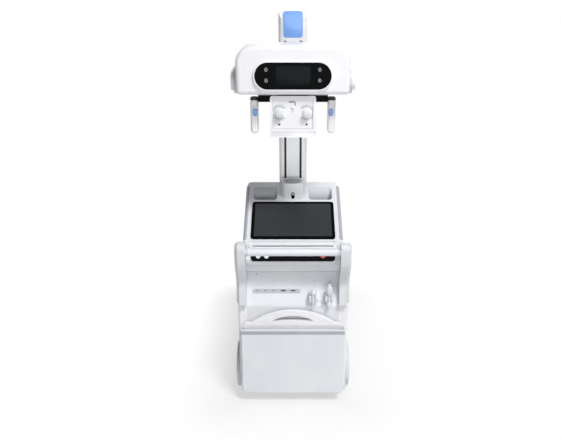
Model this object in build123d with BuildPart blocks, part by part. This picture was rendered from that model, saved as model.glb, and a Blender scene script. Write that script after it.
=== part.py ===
from build123d import *
from math import hypot
import os

# Mobile x-ray machine: a motor-driven cabinet with a turning column that carries the tube head.
# X runs across the machine, +Y points to its nose, +Z points up. The origin is on the floor.
# Distances named "from_rear" count forward from the outer face of the detector bin.

# Sides, as the operator sees them from behind the push handle
sides = ((-1, "left"), (1, "right"))

# Driving sizes
rear_face_y = -606.0
ground_gap = 60.0
cabinet_half_width = 238.0
cabinet_front_from_rear = 505.0
cover_nose_from_rear = 1214.0
drive_wheel_radius = 125.0
castor_wheel_radius = 75.0
deck_level_at_rear = 837.7
deck_rise = 0.505
column_from_rear = 715.0
column_top_z = 1995.0
trunnion_from_rear = 180.0
head_half_width = 265.0
detector_half_width = 258.0

# Fits
running_fit = 0.05
seat_gap = 0.3
body_gap = 6.0
slide_gap = 5.0

# Sheet and moulding walls
skin = 5.0
panel_wall = 4.0

# Chassis
chassis_plate_z = 196.0
chassis_plate_t = 12.0
chassis_half_width = cabinet_half_width - 13
chassis_corner = 40.0
chassis_from_rear = 64.0
chassis_to_rear = cover_nose_from_rear - 24
rail_x = cabinet_half_width - 68
rail_width = 50.0
rail_height = 96.0
rail_from_rear = 90.0
rail_to_rear = 960.0

# Battery and generator block
battery_from_rear = 115.0
battery_length = 330.0
battery_width = 2 * cabinet_half_width - 76
battery_height = 300.0

# Drive wheels
drive_axle_from_rear = 200.0
tyre_width = 49.0
tyre_inner_x = cabinet_half_width + 20
tyre_round = 9.0
rim_radius = drive_wheel_radius - 26
rim_recess = 4.0
wheel_hub_radius = 36.0
axle_radius = 17.5
axle_flange_radius = 34.0
axle_flange_t = 8.0
hub_dome_radius = rim_radius - 2
hub_dome_height = 13.0
hub_rim_height = 4.0
arch_gap = 9.0

# Swivel castors
castor_wheel_width = 32.0
castor_x = cabinet_half_width - 93
castor_from_rear = cover_nose_from_rear - 139
castor_trail = 38.0
castor_fork_t = 5.0
castor_fork_gap = 6.0
castor_cheek_half_length = 34.0
castor_cheek_foot = 16.0
castor_crown_z = 158.0
castor_crown_t = 12.0
castor_race_radius = 30.0
castor_stem_radius = 10.0
castor_axle_radius = 6.0
castor_tyre_depth = 14.0
castor_tyre_round = 8.0
castor_web_recess = 6.0
castor_boss_radius = 18.0

# Cabinet
skirt_t = 46.0
skirt_round = 10.0
skirt_corner = 12.0
skirt_toe = 60.0
side_cover_top_z = 575.0
console_side_t = 18.0
console_bevel = 10.0
console_corner = 30.0
shell_corner = 8.0
deck_near_from_rear = 92.0
cove_depth_from_rear = 108.0
cove_z = 655.0
cove_top_z = 731.0
cove_round = 60.0
cove_foot_round = 30.0
cove_foot_z = 560.0
panel_foot_z = 238.0
seam_height = 4.0
seam_depth = 3.0

# Console deck
deck_t = 24.0
monitor_length = 265.0
monitor_width = 2 * cabinet_half_width - 42
monitor_from_rear = 125.0
monitor_proud = 7.0
monitor_corner = 15.0
monitor_bezel = 16.0
glass_inlay = 2.0
glass_corner = 4.0
tray_width = 2 * cabinet_half_width - 48
tray_radius = 9.0
tray_from_rear = 104.0
storage_inner_x = 87.0
storage_outer_x = cabinet_half_width - 25
storage_from_rear = 380.0
storage_to_rear = 468.0
storage_depth = 90.0
storage_corner = 16.0

# Parking post
post_half_width = 61.0
post_from_rear = 382.0
post_to_rear = 499.0
post_rise = 87.4
post_corner = 22.0
post_flare = 12.0
post_pad_radius = 48.0
post_pad_t = 3.0
post_pad_recess = 3.0
key_drop = 64.0
key_width = 18.0
key_height = 36.0
key_t = 4.0
key_proud = 2.0

# Control strip under the handle
strip_width = 2 * cabinet_half_width - 48
strip_height = 80.0
strip_t = 5.0
strip_corner = 15.0
strip_drop = 85.0
strip_foot_from_rear = 70.0
knob_radius = 12.0
knob_t = 9.0
knob_inset = 38.0
knob_spacing = 42.0
knob_drop = 12.0
stop_radius = 15.0
stop_t = 16.0
stop_inset = 62.0
stop_drop = 8.0
stop_round = 4.0

# Push handle and its arms
handle_radius = 19.0
handle_from_rear = 10.0
handle_drop = 47.0
handle_arm_t = 52.0
handle_arm_bevel = 14.0
handle_arm_front_from_rear = 176.0
handle_arm_rise = 87.3
handle_arm_overhang = 14.0
handle_arm_corner = 38.0
handle_arm_crown = 4.0
handle_arm_joint_height = 125.0
handle_arm_foot_from_rear = 26.0
handle_arm_flare_from_rear = 48.0
handle_arm_flare_height = 89.0
handle_arm_waist_from_rear = 18.0
handle_arm_waist_height = 177.0
handle_arm_straight = 75.0

# Port strip, claws and hand pieces
port_z = 626.0
port_x = 152.0 - cabinet_half_width
port_length = 250.0
port_height = 24.0
port_t = 2.4
socket_depth = 1.6
socket_rise = 3.0
sockets = ((-98, 16, 8), (-58, 16, 8), (-15, 16, 8), (36, 30, 10), (86, 30, 10))
claw_low_z = 588.0
claw_height = 42.0
claw_reach = 40.0
claw_prong = 12.0
claw_slot = 18.0
claw_chamfer = 10.0
bridge_t = 9.0
claw_x = (cabinet_half_width - 134, cabinet_half_width - 52)
hand_names = ("hand_piece", "hand_switch")

# Turned outlines of the hand pieces: radius and height above the claw's lower edge
hand_outlines = (
    ((5, -23), (6, -4), (8.7, 0), (8.7, 42), (14, 47), (15.5, 56), (13, 66), (7, 73)),
    ((9, -29), (12.5, -24), (12.5, -7), (8.7, 0), (8.7, 42), (15, 48), (17.5, 66), (15, 86), (9, 91),
     (8, 101)),
)

# Detector bin and detector
detector_gap = 5.0
bin_wall = 7.0
bin_depth = 50.0
bin_top_z = 446.0
bin_floor_t = 12.0
bin_corner = 30.0
bin_edge = 6.0
bin_lip = 8.0
groove_height = 20.0
groove_depth = 3.0
detector_t = 22.0
detector_from_rear = 18.0
detector_rise = 28.0
detector_corner = 20.0
detector_arch_rise = 71.0
detector_arch_half_width = detector_half_width - 42
detector_slot_half_width = 108.0
detector_slot_rise = 14.0
detector_slot_height = 32.0
detector_rim = 12.0
detector_face_recess = 3.0

# Front cover
cover_half_width = cabinet_half_width + 34
cover_flat_z = 500.0
cover_flat_to_rear = 850.0
cover_brow_from_rear = cover_nose_from_rear - 129
cover_brow_z = 392.0
cover_nose_z = 262.0
cover_low_z = 100.0
cover_corner = 90.0
cover_flat_round = min(200.0, 0.9 * (cover_brow_from_rear - cover_flat_to_rear))
cover_brow_round = 120.0
cover_nose_round = 60.0
cover_lean = 12.0
cover_bulge = 4.0
cover_wall = 6.0
bumper_t = 12.0
bumper_low_z = 112.0
bumper_high_z = 164.0

# Column
pedestal_radius = 92.0
turntable_radius = 116.0
turntable_gap = 8.0
turntable_t = 34.0
turntable_round = 8.0
column_width = 156.0
column_depth = 150.0
column_corner = 25.0
column_wall = 9.0
column_cap_height = 145.0
column_cap_round = 50.0
slot_x = 43.5
slot_width = 12.0
slot_foot = 58.0
slot_head = 7.0
inlay_width = 105.0
inlay_t = 2.0
inlay_foot = 8.0

# Carriage and telescopic arm
carriage_half_width = 95.0
carriage_below_axis = 119.0
carriage_above_axis = 125.0
carriage_t = 60.0
carriage_corner = 18.0
carriage_edge = 10.0
fin_reach = 30.0
fin_below_axis = 85.0
fin_above_axis = 45.0
arm_axis_below_cap = 158.0
sleeve_width = 152.0
sleeve_height = 140.0
sleeve_reach = 88.0
section_wall = 7.0
section_gap = 0.5
section_step = 11.0
section_length = 150.0
section_corner = 12.0
inner_corner = 3.0
flange_t = 8.0

# Yoke
bush_length = 14.0
bush_radius = 58.0
trunnion_radius = 22.0
yoke_arm_t = 15.0
yoke_arm_half_height = 44.0
yoke_bend = 26.0
yoke_beam_ahead = 234.0
yoke_beam_t = 30.0
yoke_hub_radius = 56.0
yoke_beam_half_height = 55.0

# Tube head
head_below_axis = 51.0
head_side_above_axis = 162.0
head_crown_above_axis = 173.0
head_depth = 220.0
head_shoulder = 75.0
head_chin = 22.0
head_edge = 20.0
pod_width = 2 * head_half_width - 160
pod_height = 138.0
pod_above_axis = 37.0
pod_proud = 12.0
pod_edge = 5.0
display_rim = 8.0
display_t = 4.0
display_recess = 1.0

# Collimator and its handles
neck_height = 45.0
neck_radius = 72.0
collimator_half_width = 108.0
collimator_height = 157.0
collimator_depth = 184.0
collimator_corner = 14.0
fascia_t = 12.0
fascia_rise = 38.0
fascia_corner = 12.0
fascia_border = 13.0
fascia_recess = 5.0
fascia_recess_corner = 3.0
fascia_recess_foot = 40.0
fascia_recess_head = 18.0
rail_groove = 3.0
rail_groove_heights = (10.0, 22.0)
dial_radius = 19.0
dial_t = 25.0
dial_round = 3.0
dial_x = 64.5
dial_height = 117.0
dial_flutes = 20
flute_radius = 1.5
grip_x = 186.0
grip_width = 38.0
grip_depth = 46.0
grip_corner = 18.0
grip_edge = 12.0
grip_foot = 2.0
grip_head = 16.0
grip_bar_t = 30.0
grip_bar_depth = 56.0


# Places worked out from the sizes above
along = hypot(1.0, deck_rise)


def at(from_rear):
    return rear_face_y + from_rear


def deck_z(from_rear):
    return deck_level_at_rear + deck_rise * from_rear


def deck_plane(from_rear, lift=0.0):
    place = (0, at(from_rear), deck_z(from_rear))
    plane = Plane(origin=place, x_dir=(1, 0, 0), z_dir=(0, -deck_rise, 1))
    return plane.offset(lift)


cabinet_rear_from_rear = bin_depth + skin
handle_arm_top_z = deck_level_at_rear + handle_arm_rise
handle_z = handle_arm_top_z - handle_drop
strip_low_z = deck_z(deck_near_from_rear) - strip_drop
nose_lean_y = deck_near_from_rear - strip_foot_from_rear
nose_lean_z = strip_drop
post_top_z = deck_z(post_from_rear) + post_rise
bin_half_width = detector_half_width + detector_gap + bin_wall
drive_centre_z = drive_wheel_radius
turntable_low_z = cover_flat_z + turntable_gap
column_foot_z = turntable_low_z + turntable_t
column_cap_z = column_top_z - column_cap_height
column_rear_from_rear = column_from_rear - column_depth / 2
slot_low_z = column_foot_z + slot_foot
slot_high_z = column_cap_z - slot_head
arm_axis_z = column_cap_z - arm_axis_below_cap
carriage_front_from_rear = column_rear_from_rear - slide_gap - carriage_t
sleeve_mouth_from_rear = carriage_front_from_rear - sleeve_reach
yoke_arm_inner_x = head_half_width + bush_length
yoke_beam_from_rear = trunnion_from_rear + yoke_beam_ahead
head_low_z = arm_axis_z - head_below_axis
head_front_from_rear = trunnion_from_rear - head_depth / 2
pod_z = arm_axis_z + pod_above_axis
collimator_top_z = head_low_z - neck_height
collimator_low_z = collimator_top_z - collimator_height
fascia_top_z = collimator_top_z + fascia_rise
collimator_front_from_rear = trunnion_from_rear - collimator_depth / 2

# Chassis: folded plate on two rails
with BuildPart() as chassis_frame:
    with BuildSketch(Plane.XY.offset(chassis_plate_z)):
        with Locations((0, (at(chassis_from_rear) + at(chassis_to_rear)) / 2)):
            RectangleRounded(2 * chassis_half_width, chassis_to_rear - chassis_from_rear,
                             chassis_corner)
        with Locations((-castor_x, at(castor_from_rear)), (castor_x, at(castor_from_rear))):
            Circle(castor_stem_radius + running_fit, mode=Mode.SUBTRACT)
    extrude(amount=chassis_plate_t)
    with BuildSketch(Plane.XY.offset(chassis_plate_z)):
        with Locations((0, (at(rail_from_rear) + at(rail_to_rear)) / 2)):
            with Locations((-rail_x, 0), (rail_x, 0)):
                Rectangle(rail_width, rail_to_rear - rail_from_rear)
    extrude(amount=-rail_height)
    with BuildSketch(Plane.YZ.offset(-chassis_half_width)):
        with Locations((at(drive_axle_from_rear), drive_centre_z)):
            Circle(axle_radius)
    extrude(amount=2 * chassis_half_width, mode=Mode.SUBTRACT)
chassis_frame.part.label = "chassis_frame"
export_step(chassis_frame.part, "parts/chassis_frame.step")

# Battery and generator: one plain block in the closed cabinet
with BuildPart() as battery_block:
    with BuildSketch(Plane.XY.offset(chassis_plate_z + chassis_plate_t + panel_wall)):
        with Locations((0, at(battery_from_rear + battery_length / 2))):
            Rectangle(battery_width, battery_length)
    extrude(amount=battery_height)
battery_block.part.label = "battery_block"
export_step(battery_block.part, "parts/battery_block.step")

# Drive axle: one shaft through both rails, with a collar outside each
axle_end_x = tyre_inner_x + tyre_width - rim_recess
rail_outer_x = rail_x + rail_width / 2
with BuildPart() as drive_axle:
    with BuildSketch(Plane.YZ.offset(-axle_end_x)):
        with Locations((at(drive_axle_from_rear), drive_centre_z)):
            Circle(axle_radius)
    extrude(amount=2 * axle_end_x)
    for side, word in sides:
        with BuildSketch(Plane.YZ.offset(side * rail_outer_x)):
            with Locations((at(drive_axle_from_rear), drive_centre_z)):
                Circle(axle_flange_radius)
        extrude(amount=side * axle_flange_t)
drive_axle.part.label = "drive_axle"
export_step(drive_axle.part, "parts/drive_axle.step")

# Drive wheels and their covers
for side, word in sides:
    with BuildPart() as drive_tyre:
        with BuildSketch(Plane.YZ.offset(side * tyre_inner_x)):
            with Locations((at(drive_axle_from_rear), drive_centre_z)):
                Circle(drive_wheel_radius)
                Circle(rim_radius, mode=Mode.SUBTRACT)
        extrude(amount=side * tyre_width)
        rounded = drive_tyre.edges().filter_by(GeomType.CIRCLE).sort_by(lambda edge: edge.radius)[-2:]
        fillet(rounded, tyre_round)
    drive_tyre.part.label = f"drive_tyre_{word}"
    export_step(drive_tyre.part, f"parts/drive_tyre_{word}.step")

    with BuildPart() as drive_wheel:
        with BuildSketch(Plane.YZ.offset(side * (tyre_inner_x + rim_recess))):
            with Locations((at(drive_axle_from_rear), drive_centre_z)):
                Circle(rim_radius)
        extrude(amount=side * (tyre_width - 2 * rim_recess))
        with BuildSketch(Plane.YZ.offset(side * cabinet_half_width)):
            with Locations((at(drive_axle_from_rear), drive_centre_z)):
                Circle(wheel_hub_radius)
        extrude(amount=side * (tyre_inner_x + rim_recess - cabinet_half_width))
        with BuildSketch(Plane.YZ.offset(side * cabinet_half_width)):
            with Locations((at(drive_axle_from_rear), drive_centre_z)):
                Circle(axle_radius + running_fit)
        extrude(amount=side * tyre_width * 2, mode=Mode.SUBTRACT)
    drive_wheel.part.label = f"drive_wheel_{word}"
    export_step(drive_wheel.part, f"parts/drive_wheel_{word}.step")

    # Domed cover: a shallow spherical cap on a short rim
    dome_rise = hub_dome_height - hub_rim_height
    dome_sphere = (hub_dome_radius ** 2 + dome_rise ** 2) / (2 * dome_rise)
    with BuildPart() as hub_cover:
        with BuildSketch(Plane.YZ.offset(side * axle_end_x)):
            with Locations((at(drive_axle_from_rear), drive_centre_z)):
                Circle(hub_dome_radius)
        extrude(amount=side * hub_dome_height)
        dome_x = side * (axle_end_x + hub_dome_height - dome_sphere)
        with Locations((dome_x, at(drive_axle_from_rear), drive_centre_z)):
            Sphere(dome_sphere, mode=Mode.INTERSECT)
    hub_cover.part.label = f"hub_cover_{word}"
    export_step(hub_cover.part, f"parts/hub_cover_{word}.step")

# Swivel castors under the nose
for side, word in sides:
    castor_y = at(castor_from_rear)
    wheel_y = castor_y - castor_trail
    cheek_x = castor_wheel_width / 2 + castor_fork_gap
    foot = castor_cheek_foot
    with BuildPart() as castor_fork:
        with BuildSketch(Plane.YZ.offset(side * castor_x - cheek_x - castor_fork_t)) as cheek:
            with BuildLine():
                Polyline((wheel_y - foot, castor_wheel_radius),
                         (castor_y - castor_cheek_half_length, castor_crown_z),
                         (castor_y + castor_cheek_half_length, castor_crown_z),
                         (wheel_y + foot, castor_wheel_radius))
                ThreePointArc((wheel_y + foot, castor_wheel_radius), (wheel_y, castor_wheel_radius - foot),
                              (wheel_y - foot, castor_wheel_radius))
            make_face()
        extrude(amount=castor_fork_t)
        extrude(cheek.sketch.moved(Location((2 * cheek_x + castor_fork_t, 0, 0))), amount=castor_fork_t)
        with BuildSketch(Plane.XY.offset(castor_crown_z)):
            with Locations((side * castor_x, castor_y)):
                Rectangle(2 * (cheek_x + castor_fork_t), 2 * castor_cheek_half_length)
        extrude(amount=castor_crown_t)
        with BuildSketch(Plane.XY.offset(castor_crown_z + castor_crown_t)):
            with Locations((side * castor_x, castor_y)):
                Circle(castor_race_radius)
        extrude(amount=chassis_plate_z - castor_crown_z - castor_crown_t - seat_gap)
        with BuildSketch(Plane.XY.offset(castor_crown_z)):
            with Locations((side * castor_x, castor_y)):
                Circle(castor_stem_radius)
        extrude(amount=chassis_plate_z + chassis_plate_t - castor_crown_z)
        with BuildSketch(Plane.YZ.offset(side * castor_x - cheek_x)):
            with Locations((wheel_y, castor_wheel_radius)):
                Circle(castor_axle_radius)
        extrude(amount=2 * cheek_x)
    castor_fork.part.label = f"castor_fork_{word}"
    export_step(castor_fork.part, f"parts/castor_fork_{word}.step")

    with BuildPart() as castor_wheel:
        with BuildSketch(Plane.YZ.offset(side * castor_x - castor_wheel_width / 2)):
            with Locations((wheel_y, castor_wheel_radius)):
                Circle(castor_wheel_radius - castor_tyre_depth)
                Circle(castor_axle_radius + running_fit, mode=Mode.SUBTRACT)
        extrude(amount=castor_wheel_width)
        # The web between boss and rim is sunk on both faces
        for face_x, inward in ((-castor_wheel_width / 2, 1), (castor_wheel_width / 2, -1)):
            with BuildSketch(Plane.YZ.offset(side * castor_x + face_x)):
                with Locations((wheel_y, castor_wheel_radius)):
                    Circle(castor_wheel_radius - castor_tyre_depth - castor_web_recess)
                    Circle(castor_boss_radius, mode=Mode.SUBTRACT)
            extrude(amount=inward * castor_web_recess, mode=Mode.SUBTRACT)
    castor_wheel.part.label = f"castor_wheel_{word}"
    export_step(castor_wheel.part, f"parts/castor_wheel_{word}.step")

    with BuildPart() as castor_tyre:
        with BuildSketch(Plane.YZ.offset(side * castor_x - castor_wheel_width / 2)):
            with Locations((wheel_y, castor_wheel_radius)):
                Circle(castor_wheel_radius)
                Circle(castor_wheel_radius - castor_tyre_depth, mode=Mode.SUBTRACT)
        extrude(amount=castor_wheel_width)
        tread = castor_tyre.edges().filter_by(GeomType.CIRCLE).sort_by(lambda edge: edge.radius)[-2:]
        fillet(tread, castor_tyre_round)
    castor_tyre.part.label = f"castor_tyre_{word}"
    export_step(castor_tyre.part, f"parts/castor_tyre_{word}.step")

# Cabinet: a closed folded shell with the coved rear wall and the sloping top
cabinet_low_z = chassis_plate_z + chassis_plate_t
deck_under = deck_t * along
well_floor = deck_z(storage_from_rear) - storage_depth


def cabinet_outline(inset):
    points = [
        (at(cabinet_rear_from_rear) + inset, cabinet_low_z + inset),
        (at(cabinet_rear_from_rear) + inset, cove_foot_z),
        (at(cove_depth_from_rear) + inset, cove_z),
        (at(cove_depth_from_rear) + inset, cove_top_z),
        (at(strip_foot_from_rear) + skin + inset, strip_low_z),
        (at(deck_near_from_rear) + inset, deck_z(deck_near_from_rear) - deck_under - inset * along),
        (at(cabinet_front_from_rear) - inset, deck_z(cabinet_front_from_rear) - deck_under - inset * along),
        (at(cabinet_front_from_rear) - inset, cabinet_low_z + inset),
    ]
    return points


with BuildPart() as cabinet_shell:
    with BuildSketch(Plane.YZ.offset(-cabinet_half_width)):
        with BuildLine():
            Polyline(*cabinet_outline(0), close=True)
        make_face()
    extrude(amount=2 * cabinet_half_width)
    fillet(cabinet_shell.edges().filter_by(Axis.Z).group_by(Axis.Y)[-1], shell_corner)
    with BuildSketch(Plane.YZ.offset(-cabinet_half_width + panel_wall)):
        with BuildLine():
            Polyline(*cabinet_outline(panel_wall), close=True)
        make_face()
    extrude(amount=2 * (cabinet_half_width - panel_wall), mode=Mode.SUBTRACT)
    # Wells for the storage bins hang through the top wall
    with BuildSketch(Plane.XY.offset(well_floor - skin - 1)):
        for side, word in sides:
            with Locations((side * (storage_inner_x + storage_outer_x) / 2,
                            at((storage_from_rear + storage_to_rear) / 2))):
                Rectangle(storage_outer_x - storage_inner_x + 2 * skin + 2,
                          storage_to_rear - storage_from_rear + 2 * skin + 2)
    extrude(amount=2 * storage_depth, mode=Mode.SUBTRACT)
cabinet_shell.part.label = "cabinet_shell"
export_step(cabinet_shell.part, "parts/cabinet_shell.step")

# Connector recess on the cove slope
slope_dy = cove_depth_from_rear - cabinet_rear_from_rear
slope_dz = cove_z - cove_foot_z
panel_normal_t = skin * slope_dz / hypot(slope_dy, slope_dz)


def cove_plane(height):
    share = (height - cove_foot_z) / slope_dz
    place = (0, at(cabinet_rear_from_rear + share * slope_dy) - skin, height)
    return Plane(origin=place, x_dir=(1, 0, 0), z_dir=(0, -slope_dz, slope_dy))


# Coved rear panel between the handle arms: the control nose rolls under to a seam, and the cove
# below it runs down to the wall behind the detector
cove_outline = [
    (at(cabinet_rear_from_rear), panel_foot_z),
    (at(cabinet_rear_from_rear), cove_foot_z),
    (at(cove_depth_from_rear), cove_z),
    (at(cove_depth_from_rear), cove_top_z),
    (at(strip_foot_from_rear) + skin, strip_low_z),
]
nose_foot = (at(strip_foot_from_rear), strip_low_z)
nose_brow = (at(deck_near_from_rear), deck_z(deck_near_from_rear))
seam_point = (at(cove_depth_from_rear) - skin, cove_top_z)
cove_bend = (at(cove_depth_from_rear) - skin, cove_z)
cove_foot = (at(cabinet_rear_from_rear) - skin, cove_foot_z)
with BuildPart() as rear_panel:
    with BuildSketch(Plane.YZ.offset(-cabinet_half_width)) as panel_side:
        with BuildLine():
            Polyline((cove_foot[0], panel_foot_z), cove_foot, cove_bend, seam_point)
            TangentArc(nose_foot, seam_point, tangent=(-nose_lean_y, -nose_lean_z))
            Polyline(nose_foot, nose_brow, (nose_brow[0], nose_brow[1] - deck_under), *cove_outline[::-1],
                     (cove_foot[0], panel_foot_z))
        make_face()
        fillet(panel_side.vertices().sort_by_distance(cove_bend)[0], cove_round)
        fillet(panel_side.vertices().sort_by_distance(cove_foot)[0], cove_foot_round)
    extrude(amount=2 * cabinet_half_width)
    with BuildSketch(cove_plane(port_z)):
        with Locations((port_x, 0)):
            SlotOverall(port_length, port_height)
    extrude(amount=-panel_normal_t, mode=Mode.SUBTRACT)
    # Seam between the control nose and the lower panel
    with BuildSketch(Plane.YZ.offset(-cabinet_half_width)):
        with Locations(seam_point):
            Rectangle(2 * seam_depth, seam_height)
    extrude(amount=2 * cabinet_half_width, mode=Mode.SUBTRACT)
rear_panel.part.label = "rear_panel"
export_step(rear_panel.part, "parts/rear_panel.step")

# Plan of the console, with its far corners rounded
with BuildSketch(Plane.XY.offset(side_cover_top_z)) as console_plan:
    with Locations((0, (at(deck_near_from_rear) + at(cabinet_front_from_rear)) / 2)):
        Rectangle(2 * (cabinet_half_width + console_side_t), cabinet_front_from_rear - deck_near_from_rear)
    fillet(console_plan.vertices().group_by(Axis.Y)[-1], console_corner)

# Side covers: a deep skirt round the drive wheel and a thinner console side above it
joint_z = side_cover_top_z + handle_arm_joint_height
ear_from_rear = 2 * handle_arm_corner + handle_arm_crown - handle_arm_overhang
ear_z = handle_arm_top_z - handle_arm_corner
ear_slope = (ear_z - joint_z) / (handle_arm_front_from_rear - ear_from_rear)
console_side = [
    (at(handle_arm_front_from_rear), side_cover_top_z),
    (at(handle_arm_front_from_rear), joint_z),
    (at(deck_near_from_rear), ear_z - ear_slope * (deck_near_from_rear - ear_from_rear)),
    (at(deck_near_from_rear), deck_z(deck_near_from_rear)),
    (at(cabinet_front_from_rear), deck_z(cabinet_front_from_rear)),
    (at(cabinet_front_from_rear), side_cover_top_z),
]
for side, word in sides:
    with BuildPart() as console_cheek:
        with BuildSketch(Plane.YZ.offset(side * cabinet_half_width)):
            with BuildLine():
                Polyline(*console_side, close=True)
            make_face()
        extrude(amount=side * console_side_t)
        outer_face = console_cheek.faces().sort_by(Axis.X)[-1 if side > 0 else 0]
        chamfer(outer_face.edges().sort_by(Axis.Z)[-1], console_bevel)
        extrude(console_plan.sketch, amount=cover_nose_from_rear, mode=Mode.INTERSECT)

    with BuildPart() as side_cover:
        with BuildSketch(Plane.YZ.offset(side * cabinet_half_width)):
            with BuildLine():
                FilletPolyline((at(bin_depth), ground_gap + 4), (at(bin_depth), side_cover_top_z),
                               (at(cabinet_front_from_rear), side_cover_top_z),
                               (at(cabinet_front_from_rear), cover_low_z),
                               (at(cabinet_front_from_rear) - skirt_toe, ground_gap + 4),
                               radius=skirt_corner, close=True)
            make_face()
        extrude(amount=side * skirt_t)
        outer_face = side_cover.faces().sort_by(Axis.X)[-1 if side > 0 else 0]
        fillet(outer_face.outer_wire().edges(), skirt_round)
        with BuildSketch(Plane.YZ.offset(side * cabinet_half_width)):
            with Locations((at(drive_axle_from_rear), drive_centre_z)):
                Circle(drive_wheel_radius + arch_gap)
        extrude(amount=side * skirt_t, mode=Mode.SUBTRACT)
        add(console_cheek.part)
    side_cover.part.label = f"side_cover_{word}"
    export_step(side_cover.part, f"parts/side_cover_{word}.step")

# Handle arms: thick side cheeks with an S-shaped rear edge
flare_z = side_cover_top_z + handle_arm_flare_height
for side, word in sides:
    with BuildPart() as handle_arm:
        with BuildSketch(Plane.YZ.offset(side * cabinet_half_width)):
            with BuildLine():
                front_y = at(handle_arm_front_from_rear)
                rear_y = at(-handle_arm_overhang)
                foot = Line((front_y, side_cover_top_z), (at(handle_arm_foot_from_rear), side_cover_top_z))
                flare = Line(foot @ 1, (at(handle_arm_flare_from_rear), flare_z))
                waist = (at(handle_arm_waist_from_rear), side_cover_top_z + handle_arm_waist_height)
                swell = (rear_y, handle_arm_top_z - handle_arm_straight)
                under = Spline(flare @ 1, waist, swell, tangents=((0.2, 1), (-0.05, 1)))
                back = Line(under @ 1, (rear_y, handle_arm_top_z - handle_arm_corner))
                corner = RadiusArc(back @ 1, (rear_y + handle_arm_corner, handle_arm_top_z),
                                   handle_arm_corner)
                top = Line(corner @ 1, (at(ear_from_rear) - handle_arm_corner, handle_arm_top_z))
                ear = RadiusArc(top @ 1, (at(ear_from_rear), ear_z), handle_arm_corner)
                shoulder = Line(ear @ 1, (front_y, joint_z))
                Line(shoulder @ 1, foot @ 0)
            make_face()
        extrude(amount=side * handle_arm_t)
        outer_face = handle_arm.faces().sort_by(Axis.X)[-1 if side > 0 else 0]
        chamfer(outer_face.outer_wire().edges(), handle_arm_bevel)
    handle_arm.part.label = f"handle_arm_{word}"
    export_step(handle_arm.part, f"parts/handle_arm_{word}.step")

# Push handle: a round bar between the two arms
with BuildPart() as handle_bar:
    with BuildSketch(Plane.YZ.offset(-cabinet_half_width)):
        with Locations((at(handle_from_rear), handle_z)):
            Circle(handle_radius)
    extrude(amount=2 * cabinet_half_width)
handle_bar.part.label = "handle_bar"
export_step(handle_bar.part, "parts/handle_bar.step")

# Console deck with the pen tray and two storage bins
with BuildPart() as console_deck:
    with BuildSketch(Plane.YZ.offset(-cabinet_half_width)):
        with BuildLine():
            Polyline((at(deck_near_from_rear), deck_z(deck_near_from_rear) - deck_under),
                     (at(deck_near_from_rear), deck_z(deck_near_from_rear)),
                     (at(cabinet_front_from_rear), deck_z(cabinet_front_from_rear)),
                     (at(cabinet_front_from_rear), deck_z(cabinet_front_from_rear) - deck_under), close=True)
        make_face()
    extrude(amount=2 * cabinet_half_width)
    extrude(console_plan.sketch, amount=cover_nose_from_rear, mode=Mode.INTERSECT)
    with BuildSketch(Plane.YZ.offset(-tray_width / 2)):
        with Locations((at(tray_from_rear), deck_z(tray_from_rear))):
            Circle(tray_radius)
    extrude(amount=tray_width, mode=Mode.SUBTRACT)
    # Storage bins: walled wells hung under the deck
    storage_middle_x = (storage_inner_x + storage_outer_x) / 2
    storage_middle_y = at((storage_from_rear + storage_to_rear) / 2)
    for side, word in sides:
        centre = (side * storage_middle_x, storage_middle_y)
        with BuildSketch(Plane.XY.offset(well_floor - skin)):
            with Locations(centre):
                RectangleRounded(storage_outer_x - storage_inner_x + 2 * skin,
                                 storage_to_rear - storage_from_rear + 2 * skin, storage_corner + skin)
        extrude(amount=storage_depth + skin - deck_under / 2)
        with BuildSketch(Plane.XY.offset(well_floor)):
            with Locations(centre):
                RectangleRounded(storage_outer_x - storage_inner_x, storage_to_rear - storage_from_rear,
                                 storage_corner)
        extrude(amount=2 * storage_depth, mode=Mode.SUBTRACT)
console_deck.part.label = "console_deck"
export_step(console_deck.part, "parts/console_deck.step")

# Monitor lying in the sloping deck: black frame and flush glass
monitor_plane = deck_plane(monitor_from_rear + monitor_length / 2 / along)
with BuildPart() as monitor_frame:
    with BuildSketch(monitor_plane):
        RectangleRounded(monitor_width, monitor_length, monitor_corner)
    extrude(amount=monitor_proud)
    with BuildSketch(monitor_plane.offset(monitor_proud - glass_inlay)):
        RectangleRounded(monitor_width - 2 * monitor_bezel, monitor_length - 2 * monitor_bezel, glass_corner)
    extrude(amount=glass_inlay, mode=Mode.SUBTRACT)
monitor_frame.part.label = "monitor_frame"
export_step(monitor_frame.part, "parts/monitor_frame.step")

with BuildPart() as monitor_glass:
    with BuildSketch(monitor_plane.offset(monitor_proud - glass_inlay)):
        RectangleRounded(monitor_width - 2 * monitor_bezel, monitor_length - 2 * monitor_bezel, glass_corner)
    extrude(amount=glass_inlay)
monitor_glass.part.label = "monitor_glass"
export_step(monitor_glass.part, "parts/monitor_glass.step")

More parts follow.
